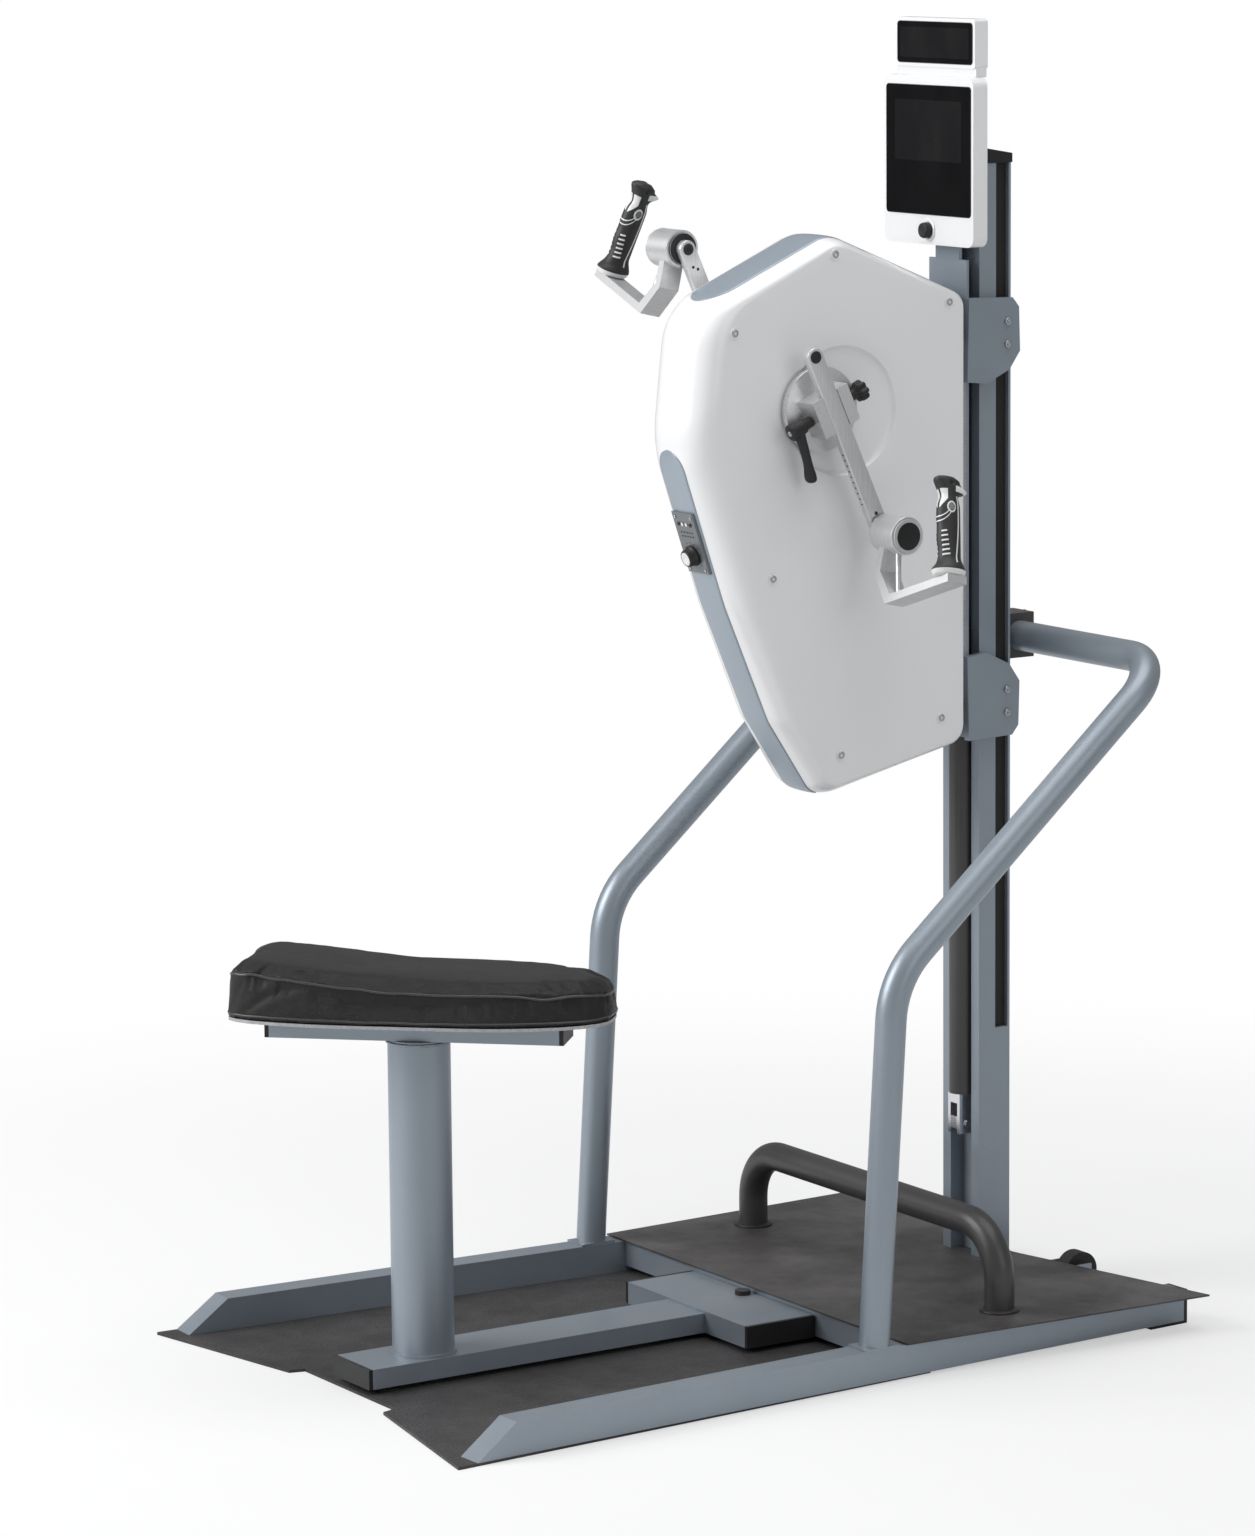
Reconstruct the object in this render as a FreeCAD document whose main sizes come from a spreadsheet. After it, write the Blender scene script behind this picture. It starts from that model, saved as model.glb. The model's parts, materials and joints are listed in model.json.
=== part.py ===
import FreeCAD, Part
import math
import os
import re
import Sketcher
from FreeCAD import Vector

# Arm crank ergometer, in millimetres, standing on the plane Z = 0.
# +Z is up, +Y runs from the seat to the column and +X is the rider's right.
# Lengths named ...Y are measured from the column's centre line, which stands at columnY.
SIZES = {
    "columnY": 521.5,
    "overrun": 5,
    # floor mat
    "matThickness": 4, "matFrontY": -1115, "matFrontHalf": 411, "matNotchY": -1062,
    "matNotchHalf": 128, "matStepY": -1040, "matStepHalf": 122, "matRearY": -341,
    "matRearHalf": 365,
    # base rails, which spread towards the rider until they reach the mat's front corners
    "railWidth": 40, "railHeight": 44.6, "railWall": 3, "railNoseWall": 5, "railLength": 1191,
    "railSlope": 61, "railRearY": 104, "railRearX": 330, "railMargin": 1.5,
    "capThickness": 6, "capPlug": 20, "plugGap": 0.4, "footLength": 60,
    # cross members and platform
    "crossDepth": 40, "crossBottomZ": 12, "frontCrossY": -366, "crossWall": 3,
    "plateThickness": 2.4, "plateFrontY": -390, "plateFrontHalf": 379, "plateRearY": 111,
    "plateRearHalf": 400, "plateMiddleY": 33, "plateMiddleHalf": 45,
    # footrest and handrail tubes
    "footrestRadius": 21, "footrestWall": 2.5, "footrestHalf": 305, "footrestY": -182,
    "footrestTopZ": 165, "footrestBend": 72,
    "handrailRadius": 21.2, "handrailWall": 2.5, "handrailHalf": 359, "handrailFootY": -430,
    "handrailLowY": -398, "handrailLowZ": 549, "handrailLowBend": 130, "handrailTopY": 57,
    "handrailTopZ": 941, "handrailTopBend": 75, "flangeLength": 56, "flangeThickness": 3,
    "saddleHalf": 25, "saddleHeight": 64, "strapThickness": 4, "boltRadius": 3.5, "boltHead": 3,
    # column profile
    "columnHalf": 43.5, "columnDepth": 54, "columnTopZ": 1611, "channelHalf": 25,
    "channelDepth": 22, "slotDepth": 9, "slotLowY": 1.5, "slotHighY": 23.2, "slotBottomZ": 383,
    "coreHalf": 29.5, "coreLowY": 0, "coreHighY": 22, "spigotHeight": 110, "spigotGap": 0.4,
    "stripThickness": 2, "columnCapZ": 1634, "columnCapDrop": 10, "columnCapRim": 1.5,
    # lift cylinder and its rod
    "barrelRadius": 18.5, "barrelBore": 14, "barrelY": -25.5, "barrelBottomZ": 285,
    "barrelTopZ": 955, "barrelFloor": 10, "glandLength": 20, "rodRadius": 8, "rodGap": 0.4,
    "rodBottomZ": 722, "rodTopZ": 1400, "pistonRadius": 13.5, "pistonLength": 18,
    "clevisHalf": 14, "clevisBottomZ": 227, "clevisEye": 9, "clevisPin": 5, "forkHalf": 8,
    # transport wheels
    "wheelRadius": 27, "wheelWidth": 24, "wheelX": 131, "wheelY": 82, "wheelZ": 36,
    "axleRadius": 5, "axleGap": 0.4, "bracketHalf": 22, "bracketThickness": 3,
    "hubWidth": 30,
    # seat frame
    "beamHalf": 48, "beamBottomZ": 11, "beamTopZ": 38.5, "beamWall": 3, "beamFrontY": -1031,
    "crossbarHalf": 149, "crossbarFrontY": -500, "crossbarRearY": -388, "crossbarTopZ": 42,
    "tongueHalf": 30, "tongueBottomZ": 20, "tongueTopZ": 26, "tongueFrontY": -482,
    "tongueGap": 2, "footRadius": 16, "footGlide": 3, "pinRadius": 5, "pinGap": 0.4,
    "pinY": -404, "pinKnob": 11, "pinKnobHeight": 6,
    # seat post and seat
    "postRadius": 42.5, "postWall": 3, "postY": -924, "postTopZ": 473, "postFlange": 46,
    "postFlangeThickness": 4, "spindleRadius": 20, "spindleLength": 90, "spindleGap": 0.4,
    "seatTurn": 43, "seatTubeLength": 398, "seatTubeHalf": 34, "seatTubeHeight": 30,
    "seatTubeWall": 3, "seatPlateInset": 5, "seatPlateThickness": 5,
    "cushionRear": 254, "cushionFront": 274, "cushionHalf": 114, "cushionHeight": 71,
    # carriage
    "plateY": -46, "carriagePlate": 4, "carriageBottomZ": 806, "carriageTopZ": 1478,
    "bracketInner": 44.7, "bracketSide": 11, "bracketFrontY": -56, "bracketRearY": 34.5,
    "upperBottomZ": 1305, "upperTopZ": 1426, "lowerBottomZ": 803, "lowerTopZ": 926,
    "shoeGap": 0.6, "padInset": 9, "padHalf": 6.5, "screwRadius": 5, "screwHead": 4,
    # housing
    "housingRearY": -62.3, "housingDepth": 473.2, "housingBottomZ": 743, "housingHeight": 782,
    "housingHalf": 66, "housingWall": 3, "housingEdge": 12, "housingNose": 62,
    "windowBottomZ": 860, "windowTopZ": 1400, "dishY": -275, "dishZ": 1283,
    "dishRadius": 90, "dishDepth": 4.5, "trimHalf": 50, "trimThickness": 2.5, "stripHalf": 28,
    "stripInset": 9, "trimTail": 130, "faceScrew": 5, "faceScrewHead": 1.6,
    # control panel and its knob
    "panelHalf": 25, "panelBottomZ": 1067, "panelTopZ": 1152, "panelThickness": 4,
    "knobZ": 1093, "knobRadius": 15, "knobLength": 14, "knobFaceRadius": 11,
    "knobShaft": 3, "knobShaftLength": 12,
    # drive inside the housing
    "chassisHalf": 41, "chassisPlate": 3.5, "crankY": -319, "crankZ": 1289, "shaftRadius": 10,
    "shaftRelief": 4, "bearingRadius": 19, "bearingLength": 12, "bearingGap": 0.35,
    "pulleyRadius": 88, "pulleyLow": 17, "pulleyWidth": 14, "beltThickness": 2.4, "beltGap": 0.4,
    "flywheelY": -215, "flywheelZ": 985, "flywheelRadius": 100, "flywheelLow": -24,
    "flywheelWidth": 18, "sheaveRadius": 20, "brakeReach": 26, "brakeHalf": 40, "brakeGap": 3,
    "brakeCheek": 9, "brakeBack": 18,
    # cranks
    "crankAngle": 24.3, "discRadius": 58.5, "discLow": 70, "discHigh": 80, "blockHigh": 116,
    "blockHalf": 31, "blockReach": 27, "barX": 110, "barWidth": 25, "barThickness": 12,
    "barWall": 2.2, "barGap": 0.35, "barTail": 55, "barEnd": 95,
    "clampX": 97, "clampBolt": 3, "clampGap": 0.4, "leverLow": 44, "leverHub": 11,
    "leverHubLength": 26, "leverLength": 80, "leverWidth": 17, "leverThickness": 9,
    "leverCollar": 6, "starLow": 32, "starNeck": 18, "starRadius": 15, "starLength": 14,
    "starDimple": 6, "plugThickness": 3, "pivotScrew": 7, "pivotScrewHead": 2.5,
    # handles
    "rightReach": 188, "leftReach": 233, "barrelLow": 119, "barrelHigh": 172,
    "swivelRadius": 26, "swivelPin": 8, "swivelGap": 0.4, "swivelCap": 23.8,
    "swivelCapLength": 4, "washerLow": 116.4, "washerRadius": 22, "armWidth": 32,
    "armThickness": 12, "armX": 140, "armKneeDrop": 52, "armDrop": 82, "footX": 178,
    "stirrupLean": 13, "footAngle": 18.7, "footReach": 130, "footThickness": 11,
    "gripReach": 113, "gripRadius": 17, "gripLength": 140, "gripBase": 6,
    "gripBaseRadius": 22, "gripPin": 4, "gripGap": 0.4, "gripLip": 22, "gripFlare": 5,
    # display
    "displayHalf": 106, "displayBottomZ": 1499, "displayTopZ": 1732.5, "displayFrontY": -83,
    "displayDepth": 24, "displayCorner": 14, "topHalf": 94.5, "topBottomZ": 1744, "topTopZ": 1812,
    "topFrontY": -72, "topDepth": 22, "glassInset": 6, "glassThickness": 1.2, "glassTop": 1719,
    "mountHalf": 28, "mountThickness": 5, "mountTopZ": 1790, "tiltY": -55, "tiltZ": 1620,
    "tiltRadius": 4, "tiltHalf": 24, "tiltGap": 0.4, "dialZ": 1519, "dialRadius": 11,
    "dialLength": 11,
}

# Side outline of the housing, from the upper rear corner over the top, the nose and the
# underside: shares of housingDepth forwards, of housingHeight up, and of the corner radius.
OUTLINE_SHARES = [
    (0, 0.885, 0.04), (0.46, 1, 0.05), (0.938, 0.864, 0.12), (0.972, 0.632, 0.4),
    (0.819, 0.359, 0.6), (0.667, 0.1445, 0.17), (0.509, 0, 0.03), (0, 0.075, 0.055),
]
# Nose of the housing from the underside up: shares of the depth, the height and the nose.
NOSE_SHARES = [
    (0.509, -0.01, 0.64), (0.667, 0.1445, 0.8), (0.819, 0.359, 0.97), (0.895, 0.495, 1),
    (0.962, 0.63, 1), (0.957, 0.75, 1), (0.934, 0.87, 1), (0.89, 1.01, 1),
]
# Face screws of the housing: shares of the depth and of the height.
FACE_SCREW_SHARES = [
    (0.473, 0.965), (0.069, 0.87), (0.822, 0.838), (0.695, 0.404), (0.098, 0.127),
    (0.458, 0.079),
]
# Cushion sections along its length: shares of the reach, the half width and the height.
CUSHION_SHARES = [
    (-1, 0.45, 0.93), (-0.965, 0.65, 0.98), (-0.88, 0.8, 1), (-0.7, 0.92, 0.96),
    (-0.35, 0.995, 0.83), (0, 1, 0.74), (0.3, 0.98, 0.72), (0.62, 0.86, 0.71),
    (0.87, 0.63, 0.7), (0.965, 0.44, 0.68), (1, 0.26, 0.64),
]
# Corner cuts of a carriage bracket: shares of its depth and height, from the front bottom.
BRACKET_SHARES = [
    (0, 0.03), (0.36, 0), (0.8, 0.15), (1, 0.36), (0.98, 0.87), (0.86, 0.98), (0.03, 1),
]

doc = FreeCAD.newDocument("ErgometerModel")
sheet = doc.addObject("Spreadsheet::Sheet", "Sizes")
for row, (alias, value) in enumerate(SIZES.items(), start=1):
    sheet.set("A%d" % row, alias)
    sheet.set("B%d" % row, str(value))
    sheet.setAlias("B%d" % row, alias)
doc.recompute()


def size(alias):
    """Value of a named size, read back from the sheet."""
    return float(sheet.get(alias))


def expression(text):
    """The text of a sum of named sizes, as the document's expression engine reads it."""
    def link(match):
        word = match.group(0)
        return "Sizes." + word if word in SIZES else word
    return re.sub(r"[A-Za-z][A-Za-z0-9]*", link, text)


def bind(item, prop, text):
    item.setExpression(prop, expression(text))


def place(item, x="0", y="0", z="0", axis=None, angle=None):
    """Binds the place of an object, and its turn about an axis."""
    if axis is not None:
        item.Placement = FreeCAD.Placement(Vector(), FreeCAD.Rotation(Vector(*axis), 1))
        bind(item, "Placement.Rotation.Angle", angle)
    bind(item, "Placement.Base.x", x)
    bind(item, "Placement.Base.y", y)
    bind(item, "Placement.Base.z", z)


def from_column(text):
    return "columnY + (%s)" % text


def box(label, x, y, z, local=False):
    """Box between pairs of sums; y counts from the column unless the box is local."""
    item = doc.addObject("Part::Box", label)
    for prop, (low, high) in zip(("Length", "Width", "Height"), (x, y, z)):
        bind(item, prop, "(%s) - (%s)" % (high, low))
    place(item, x[0], y[0] if local else from_column(y[0]), z[0])
    return item


ROD_TURNS = {"X": ((0, 1, 0), "90"), "Y": ((1, 0, 0), "-90"), "Z": (None, None)}


def rod(label, radius, span, centre, axis="Z", local=False):
    """Cylinder along an axis over a span, centred on the two other coordinates."""
    item = doc.addObject("Part::Cylinder", label)
    bind(item, "Radius", radius)
    bind(item, "Height", "(%s) - (%s)" % (span[1], span[0]))
    first, second = centre
    spot = {"X": (span[0], first, second), "Y": (first, span[0], second),
            "Z": (first, second, span[0])}[axis]
    turn, angle = ROD_TURNS[axis]
    place(item, spot[0], spot[1] if local else from_column(spot[1]), spot[2], turn, angle)
    return item


def prism(label, plane, points, low, high, local=False):
    """Body with a sketched outline padded from low to high along the plane's normal."""
    body = doc.addObject("PartDesign::Body", label)
    sketch = body.newObject("Sketcher::SketchObject", label + "Sketch")
    face = [item for item in body.Origin.OriginFeatures if item.Role == plane][0]
    sketch.AttachmentSupport = (face, [""])
    sketch.MapMode = "FlatFace"
    count = len(points)
    for index in range(count):
        spread = 2 * math.pi / count
        start = Vector(math.cos(index * spread), math.sin(index * spread))
        stop = Vector(math.cos((index + 1) * spread), math.sin((index + 1) * spread))
        sketch.addGeometry(Part.LineSegment(start, stop), False)
    for index in range(count):
        joined = Sketcher.Constraint("Coincident", index, 2, (index + 1) % count, 1)
        sketch.addConstraint(joined)
    for index, point in enumerate(points):
        for kind, text in zip(("DistanceX", "DistanceY"), point):
            rule = Sketcher.Constraint(kind, -1, 1, index, 1, 0)
            number = sketch.addConstraint(rule)
            sketch.setExpression("Constraints[%d]" % number, expression(text))
    pad = body.newObject("PartDesign::Pad", label + "Pad")
    pad.Profile = sketch
    bind(pad, "Length", "(%s) - (%s)" % (high, low))
    spots = {"YZ_Plane": (low, "0", "0"), "XY_Plane": ("0", "0", low),
             "XZ_Plane": ("0", high, "0")}
    x, y, z = spots[plane]
    place(body, x, y if local else from_column(y), z)
    return body


def fuse(label, *items):
    joined = doc.addObject("Part::MultiFuse", label)
    joined.Shapes = list(items)
    return joined


def group(label, *items):
    """Separate solids of the same kind under one name."""
    joined = doc.addObject("Part::Compound", label)
    joined.Links = list(items)
    return joined


def cut(label, base, *tools):
    result = doc.addObject("Part::Cut", label)
    result.Base = base
    result.Tool = tools[0] if len(tools) == 1 else fuse(label + "Tools", *tools)
    return result


def mirrored(label, item):
    twin = doc.addObject("Part::Mirroring", label)
    twin.Source = item
    twin.Base = (0, 0, 0)
    twin.Normal = (1, 0, 0)
    return twin


def feature(label, shape, y="columnY", axis=None, angle=None, x="0", z="0"):
    """A shape worked out from sheet values, placed after it is set."""
    item = doc.addObject("Part::Feature", label)
    item.Shape = shape
    place(item, x, y, z, axis, angle)
    return item


def bent_wire(points, bends):
    """Open path through points, with a round bend at each inner point."""
    edges = []
    start = points[0]
    for index in range(1, len(points) - 1):
        corner = points[index]
        before = (points[index - 1] - corner).normalize()
        after = (points[index + 1] - corner).normalize()
        half = before.getAngle(after) / 2
        radius = bends[index - 1]
        first = corner + before * (radius / math.tan(half))
        last = corner + after * (radius / math.tan(half))
        inward = (before + after).normalize()
        middle = corner + inward * (radius / math.sin(half) - radius)
        edges.append(Part.makeLine(start, first))
        edges.append(Part.Arc(first, middle, last).toShape())
        start = last
    edges.append(Part.makeLine(start, points[-1]))
    return Part.Wire(edges)


def bent_tube(points, bends, radius, wall):
    path = bent_wire(points, bends)
    along = points[1] - points[0]

    def sweep(reach):
        ring = Part.Wire(Part.makeCircle(reach, points[0], along))
        return path.makePipeShell([ring], True, False)

    return sweep(radius).cut(sweep(radius - wall))


def rounded_wire(points, radii):
    """Closed outline through virtual corners, each rounded with its radius."""
    corners = []
    for index, corner in enumerate(points):
        before = (points[index - 1] - corner).normalize()
        after = (points[(index + 1) % len(points)] - corner).normalize()
        half = before.getAngle(after) / 2
        radius = radii[index]
        inward = (before + after).normalize()
        middle = corner + inward * (radius / math.sin(half) - radius)
        reach = radius / math.tan(half)
        corners.append((corner + before * reach, middle, corner + after * reach))
    edges = []
    for index, (first, middle, last) in enumerate(corners):
        edges.append(Part.Arc(first, middle, last).toShape())
        edges.append(Part.makeLine(last, corners[(index + 1) % len(corners)][0]))
    return Part.Wire(edges)


def pipe(label, radius, bore, span, centre, axis="Z", local=False):
    outer = rod(label + "Outer", radius, span, centre, axis, local)
    inner_span = ("(%s) - overrun" % span[0], "(%s) + overrun" % span[1])
    inner = rod(label + "Bore", bore, inner_span, centre, axis, local)
    return cut(label, outer, inner)


def floor_mat():
    right = [("matRearHalf", "matRearY"), ("-matRearHalf", "matRearY")]
    left = [("-matFrontHalf", "matFrontY"), ("-matNotchHalf", "matNotchY"),
            ("-matStepHalf", "matStepY")]
    back = [(x[1:], y) for x, y in reversed(left)]
    return prism("floor_mat", "XY_Plane", right + left + back, "0", "matThickness")


# Angle of a rail to the machine's middle line.
RAIL_ANGLE = "atan((matFrontHalf - railMargin - railRearX - railWidth / 2) / railLength)"


def rail(label, side):
    """One side rail, cut to a slope at the rider's end and open at the rear."""
    slope = "(railLength - railSlope)"
    outer = prism(label + "Outer", "YZ_Plane", [
        ("0", "0"), ("0", "railHeight"), ("-" + slope, "railHeight"), ("-railLength", "0"),
    ], "-railWidth / 2", "railWidth / 2", local=True)
    lean = "railWall * railSlope / railHeight"
    inner = prism(label + "Inner", "YZ_Plane", [
        ("overrun", "railWall"), ("overrun", "railHeight - railWall"),
        ("railNoseWall - %s - %s" % (slope, lean), "railHeight - railWall"),
        ("railNoseWall - railLength + %s" % lean, "railWall"),
    ], "railWall - railWidth / 2", "railWidth / 2 - railWall", local=True)
    tube = cut(label, outer, inner)
    place(tube, side + "railRearX", from_column("railRearY"), "matThickness",
          (0, 0, 1), side + RAIL_ANGLE)
    return tube


def base_rails():
    return group("base_rails", rail("rightRail", ""), rail("leftRail", "-"))


def rail_cap(label, side):
    plate = box(label + "Plate", ("-railWidth / 2", "railWidth / 2"), ("0", "capThickness"),
                ("-matThickness", "railHeight"), local=True)
    pad = box(label + "Pad", ("-railWidth / 2", "railWidth / 2"), ("-footLength", "0"),
              ("-matThickness", "0"), local=True)
    plug = box(label + "Plug", ("railWall + plugGap - railWidth / 2",
                                "railWidth / 2 - railWall - plugGap"), ("-capPlug", "0"),
               ("railWall + plugGap", "railHeight - railWall - plugGap"), local=True)
    cap = fuse(label, plate, pad, plug)
    place(cap, side + "railRearX", from_column("railRearY"), "matThickness",
          (0, 0, 1), side + RAIL_ANGLE)
    return cap


def rail_end_caps():
    return group("rail_end_caps", rail_cap("rightCap", ""), rail_cap("leftCap", "-"))


def rail_inner(y):
    """Distance from the middle to a rail's inner face at a place along the machine."""
    return ("railRearX - railWidth / (2 * cos(%s)) + tan(%s) * (railRearY - (%s))"
            % (RAIL_ANGLE, RAIL_ANGLE, y))


def cross_member(label, middle):
    """Rectangular tube between the rails, its ends cut to the rails' angle."""
    low = "%s - crossDepth / 2" % middle
    high = "%s + crossDepth / 2" % middle
    corners = [(rail_inner(low), low), (rail_inner(high), high),
               ("-(%s)" % rail_inner(high), high), ("-(%s)" % rail_inner(low), low)]
    outer = prism(label + "Outer", "XY_Plane", corners, "crossBottomZ",
                  "matThickness + railHeight")
    hollow = box(label + "Hollow", ("-2 * railRearX", "2 * railRearX"),
                 (low + " + crossWall", high + " - crossWall"),
                 ("crossBottomZ + crossWall", "matThickness + railHeight - crossWall"))
    return cut(label, outer, hollow)


def column_spigot():
    """Spigot welded to the rear cross member, inside the column's hollow core."""
    bottom = "matThickness + railHeight"
    return box("columnSpigot", ("spigotGap - coreHalf", "coreHalf - spigotGap"),
               ("coreLowY + spigotGap", "coreHighY - spigotGap"),
               (bottom, bottom + " + plateThickness + spigotHeight"))


def cross_members():
    front = cross_member("frontCross", "frontCrossY")
    rear = cross_member("rearCross", "0")
    tongue = box("clampTongue", ("-tongueHalf", "tongueHalf"),
                 ("tongueFrontY", "frontCrossY - crossDepth / 2"),
                 ("tongueBottomZ", "tongueTopZ"))
    return group("cross_members", front, rear, tongue, column_spigot())


def platform_plate():
    top = "matThickness + railHeight"
    right = [("plateFrontHalf", "plateFrontY"), ("plateRearHalf", "plateRearY"),
             ("plateMiddleHalf", "plateMiddleY")]
    left = [("-" + x, y) for x, y in reversed(right)]
    sheet_plate = prism("platformBlank", "XY_Plane", right + left, top,
                        top + " + plateThickness")
    hole = box("platformHole", ("-coreHalf", "coreHalf"), ("coreLowY", "coreHighY"),
               (top + " - overrun", top + " + plateThickness + overrun"))
    return cut("platform_plate", sheet_plate, hole)


def platform_top():
    return size("matThickness") + size("railHeight") + size("plateThickness")


def footrest_tube():
    half, y, top = size("footrestHalf"), size("footrestY"), size("footrestTopZ")
    foot = platform_top()
    points = [Vector(-half, y, foot), Vector(-half, y, top), Vector(half, y, top),
              Vector(half, y, foot)]
    shape = bent_tube(points, [size("footrestBend")] * 2, size("footrestRadius"),
                      size("footrestWall"))
    return feature("footrest_tube", shape)


def column_profile():
    """Extruded column: a front channel for the lift, a slot in each side and a hollow core."""
    bottom = "matThickness + railHeight + plateThickness"
    through = (bottom + " - overrun", "columnTopZ + overrun")
    front, rear = "-columnDepth / 2", "columnDepth / 2"
    block = box("columnBlank", ("-columnHalf", "columnHalf"), (front, rear),
                (bottom, "columnTopZ"))
    channel = box("columnChannel", ("-channelHalf", "channelHalf"),
                  (front + " - overrun", front + " + channelDepth"), through)
    core = box("columnCore", ("-coreHalf", "coreHalf"), ("coreLowY", "coreHighY"), through)
    right = box("columnSlot", ("columnHalf - slotDepth", "columnHalf + overrun"),
                ("slotLowY", "slotHighY"), ("slotBottomZ", "columnTopZ + overrun"))
    left = mirrored("columnSlotLeft", right)
    return cut("column_profile", block, channel, core, right, left)


def column_cap():
    """Moulded cap whose top slopes down to the rear."""
    rim = "columnDepth / 2 + columnCapRim"
    return prism("column_cap", "YZ_Plane", [
        ("-(%s)" % rim, "columnTopZ"), (rim, "columnTopZ"),
        (rim, "columnCapZ - columnCapDrop"), ("-(%s)" % rim, "columnCapZ"),
    ], "-columnHalf - columnCapRim", "columnHalf + columnCapRim")


def slot_strips():
    right = box("slotStrip", ("columnHalf - slotDepth",
                              "columnHalf - slotDepth + stripThickness"),
                ("slotLowY", "slotHighY"), ("slotBottomZ", "columnTopZ"))
    return group("slot_strips", right, mirrored("slotStripLeft", right))


def handrail_tube():
    """One tube from rail to rail, bent round behind the column and cut level at its feet."""
    half, radius = size("handrailHalf"), size("handrailRadius")
    foot = size("matThickness") + size("railHeight") + size("flangeThickness")
    knee = Vector(half, size("handrailLowY"), size("handrailLowZ"))
    start = Vector(half, size("handrailFootY"), foot)
    right = [start + (start - knee).normalize() * radius, knee,
             Vector(half, size("handrailTopY"), size("handrailTopZ"))]
    left = [Vector(-point.x, point.y, point.z) for point in reversed(right)]
    low, top = size("handrailLowBend"), size("handrailTopBend")
    shape = bent_tube(right + left, [low, top, top, low], radius, size("handrailWall"))
    room = Part.makeBox(4 * half, 4 * half, 2 * radius,
                        Vector(-2 * half, start.y - 2 * half, foot - 2 * radius))
    return feature("handrail_tube", shape.cut(room))


def handrail_flanges():
    top = "matThickness + railHeight"
    right = box("railFlange", ("handrailHalf - handrailRadius", "handrailHalf + railWidth / 2"),
                ("handrailFootY - flangeLength / 2", "handrailFootY + flangeLength / 2"),
                (top, top + " + flangeThickness"))
    return group("handrail_flanges", right, mirrored("railFlangeLeft", right))


def handrail_saddle():
    """Block between the column and the handrail, with a seat for the tube."""
    low = "handrailTopZ - saddleHeight / 2"
    high = "handrailTopZ + saddleHeight / 2"
    block = box("saddleBlank", ("-saddleHalf", "saddleHalf"),
                ("columnDepth / 2", "handrailTopY"), (low, high))
    seat = rod("saddleSeat", "handrailRadius", ("-saddleHalf - overrun", "saddleHalf + overrun"),
               ("handrailTopY", "handrailTopZ"), "X")
    return cut("handrail_saddle", block, seat)


def handrail_strap():
    """Strap that closes round the tube behind the saddle, with two screws."""
    low = "handrailTopZ - saddleHeight / 2"
    high = "handrailTopZ + saddleHeight / 2"
    rear = "handrailTopY + handrailRadius + strapThickness"
    block = box("strapBlank", ("-saddleHalf", "saddleHalf"), ("handrailTopY", rear),
                (low, high))
    seat = rod("strapSeat", "handrailRadius", ("-saddleHalf - overrun", "saddleHalf + overrun"),
               ("handrailTopY", "handrailTopZ"), "X")
    reach = "(handrailTopZ %s (handrailRadius + saddleHeight / 2) / 2)"
    heads = [rod("strapScrew%d" % index, "boltRadius * 1.6", (rear, rear + " + boltHead"),
                 ("0", reach % sign), "Y") for index, sign in enumerate("+-")]
    return group("handrail_strap", cut("strapBody", block, seat), *heads)


def lift_barrel():
    """Cylinder of the lift: a bore closed below and a gland round the rod above."""
    spot = ("0", "barrelY")
    outer = rod("barrelBlank", "barrelRadius", ("barrelBottomZ", "barrelTopZ"), spot)
    bore = rod("barrelHollow", "barrelBore",
               ("barrelBottomZ + barrelFloor", "barrelTopZ - glandLength"), spot)
    gland = rod("barrelGland", "rodRadius + rodGap",
                ("barrelTopZ - glandLength - overrun", "barrelTopZ + overrun"), spot)
    return cut("lift_barrel", outer, bore, gland)


def lift_clevis():
    """Fork below the lift cylinder and the lug and pin that tie it to the column."""
    wall = "channelDepth - columnDepth / 2"
    fork = box("forkBlank", ("-clevisHalf", "clevisHalf"),
               ("barrelY - clevisHalf", "barrelY + clevisHalf"), ("clevisBottomZ",
                                                                  "barrelBottomZ"))
    gap = box("forkGap", ("-forkHalf", "forkHalf"),
              ("barrelY - clevisHalf - overrun", "barrelY + clevisHalf + overrun"),
              ("clevisBottomZ - overrun", "barrelBottomZ - clevisHalf"))
    eye_z = "clevisBottomZ + clevisHalf"
    hole = rod("forkHole", "clevisPin", ("-clevisHalf - overrun", "clevisHalf + overrun"),
               ("barrelY", eye_z), "X")
    lug = box("lugBlank", ("-forkHalf", "forkHalf"), ("barrelY - clevisEye", wall),
              (eye_z + " - clevisEye", eye_z + " + clevisEye"))
    lug_hole = rod("lugHole", "clevisPin", ("-forkHalf - overrun", "forkHalf + overrun"),
                   ("barrelY", eye_z), "X")
    pin = rod("clevisBolt", "clevisPin", ("-clevisHalf - boltHead", "clevisHalf + boltHead"),
              ("barrelY", eye_z), "X")
    return group("lift_clevis", cut("clevisFork", fork, gap, hole),
                 cut("clevisLug", lug, lug_hole), pin)


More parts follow.
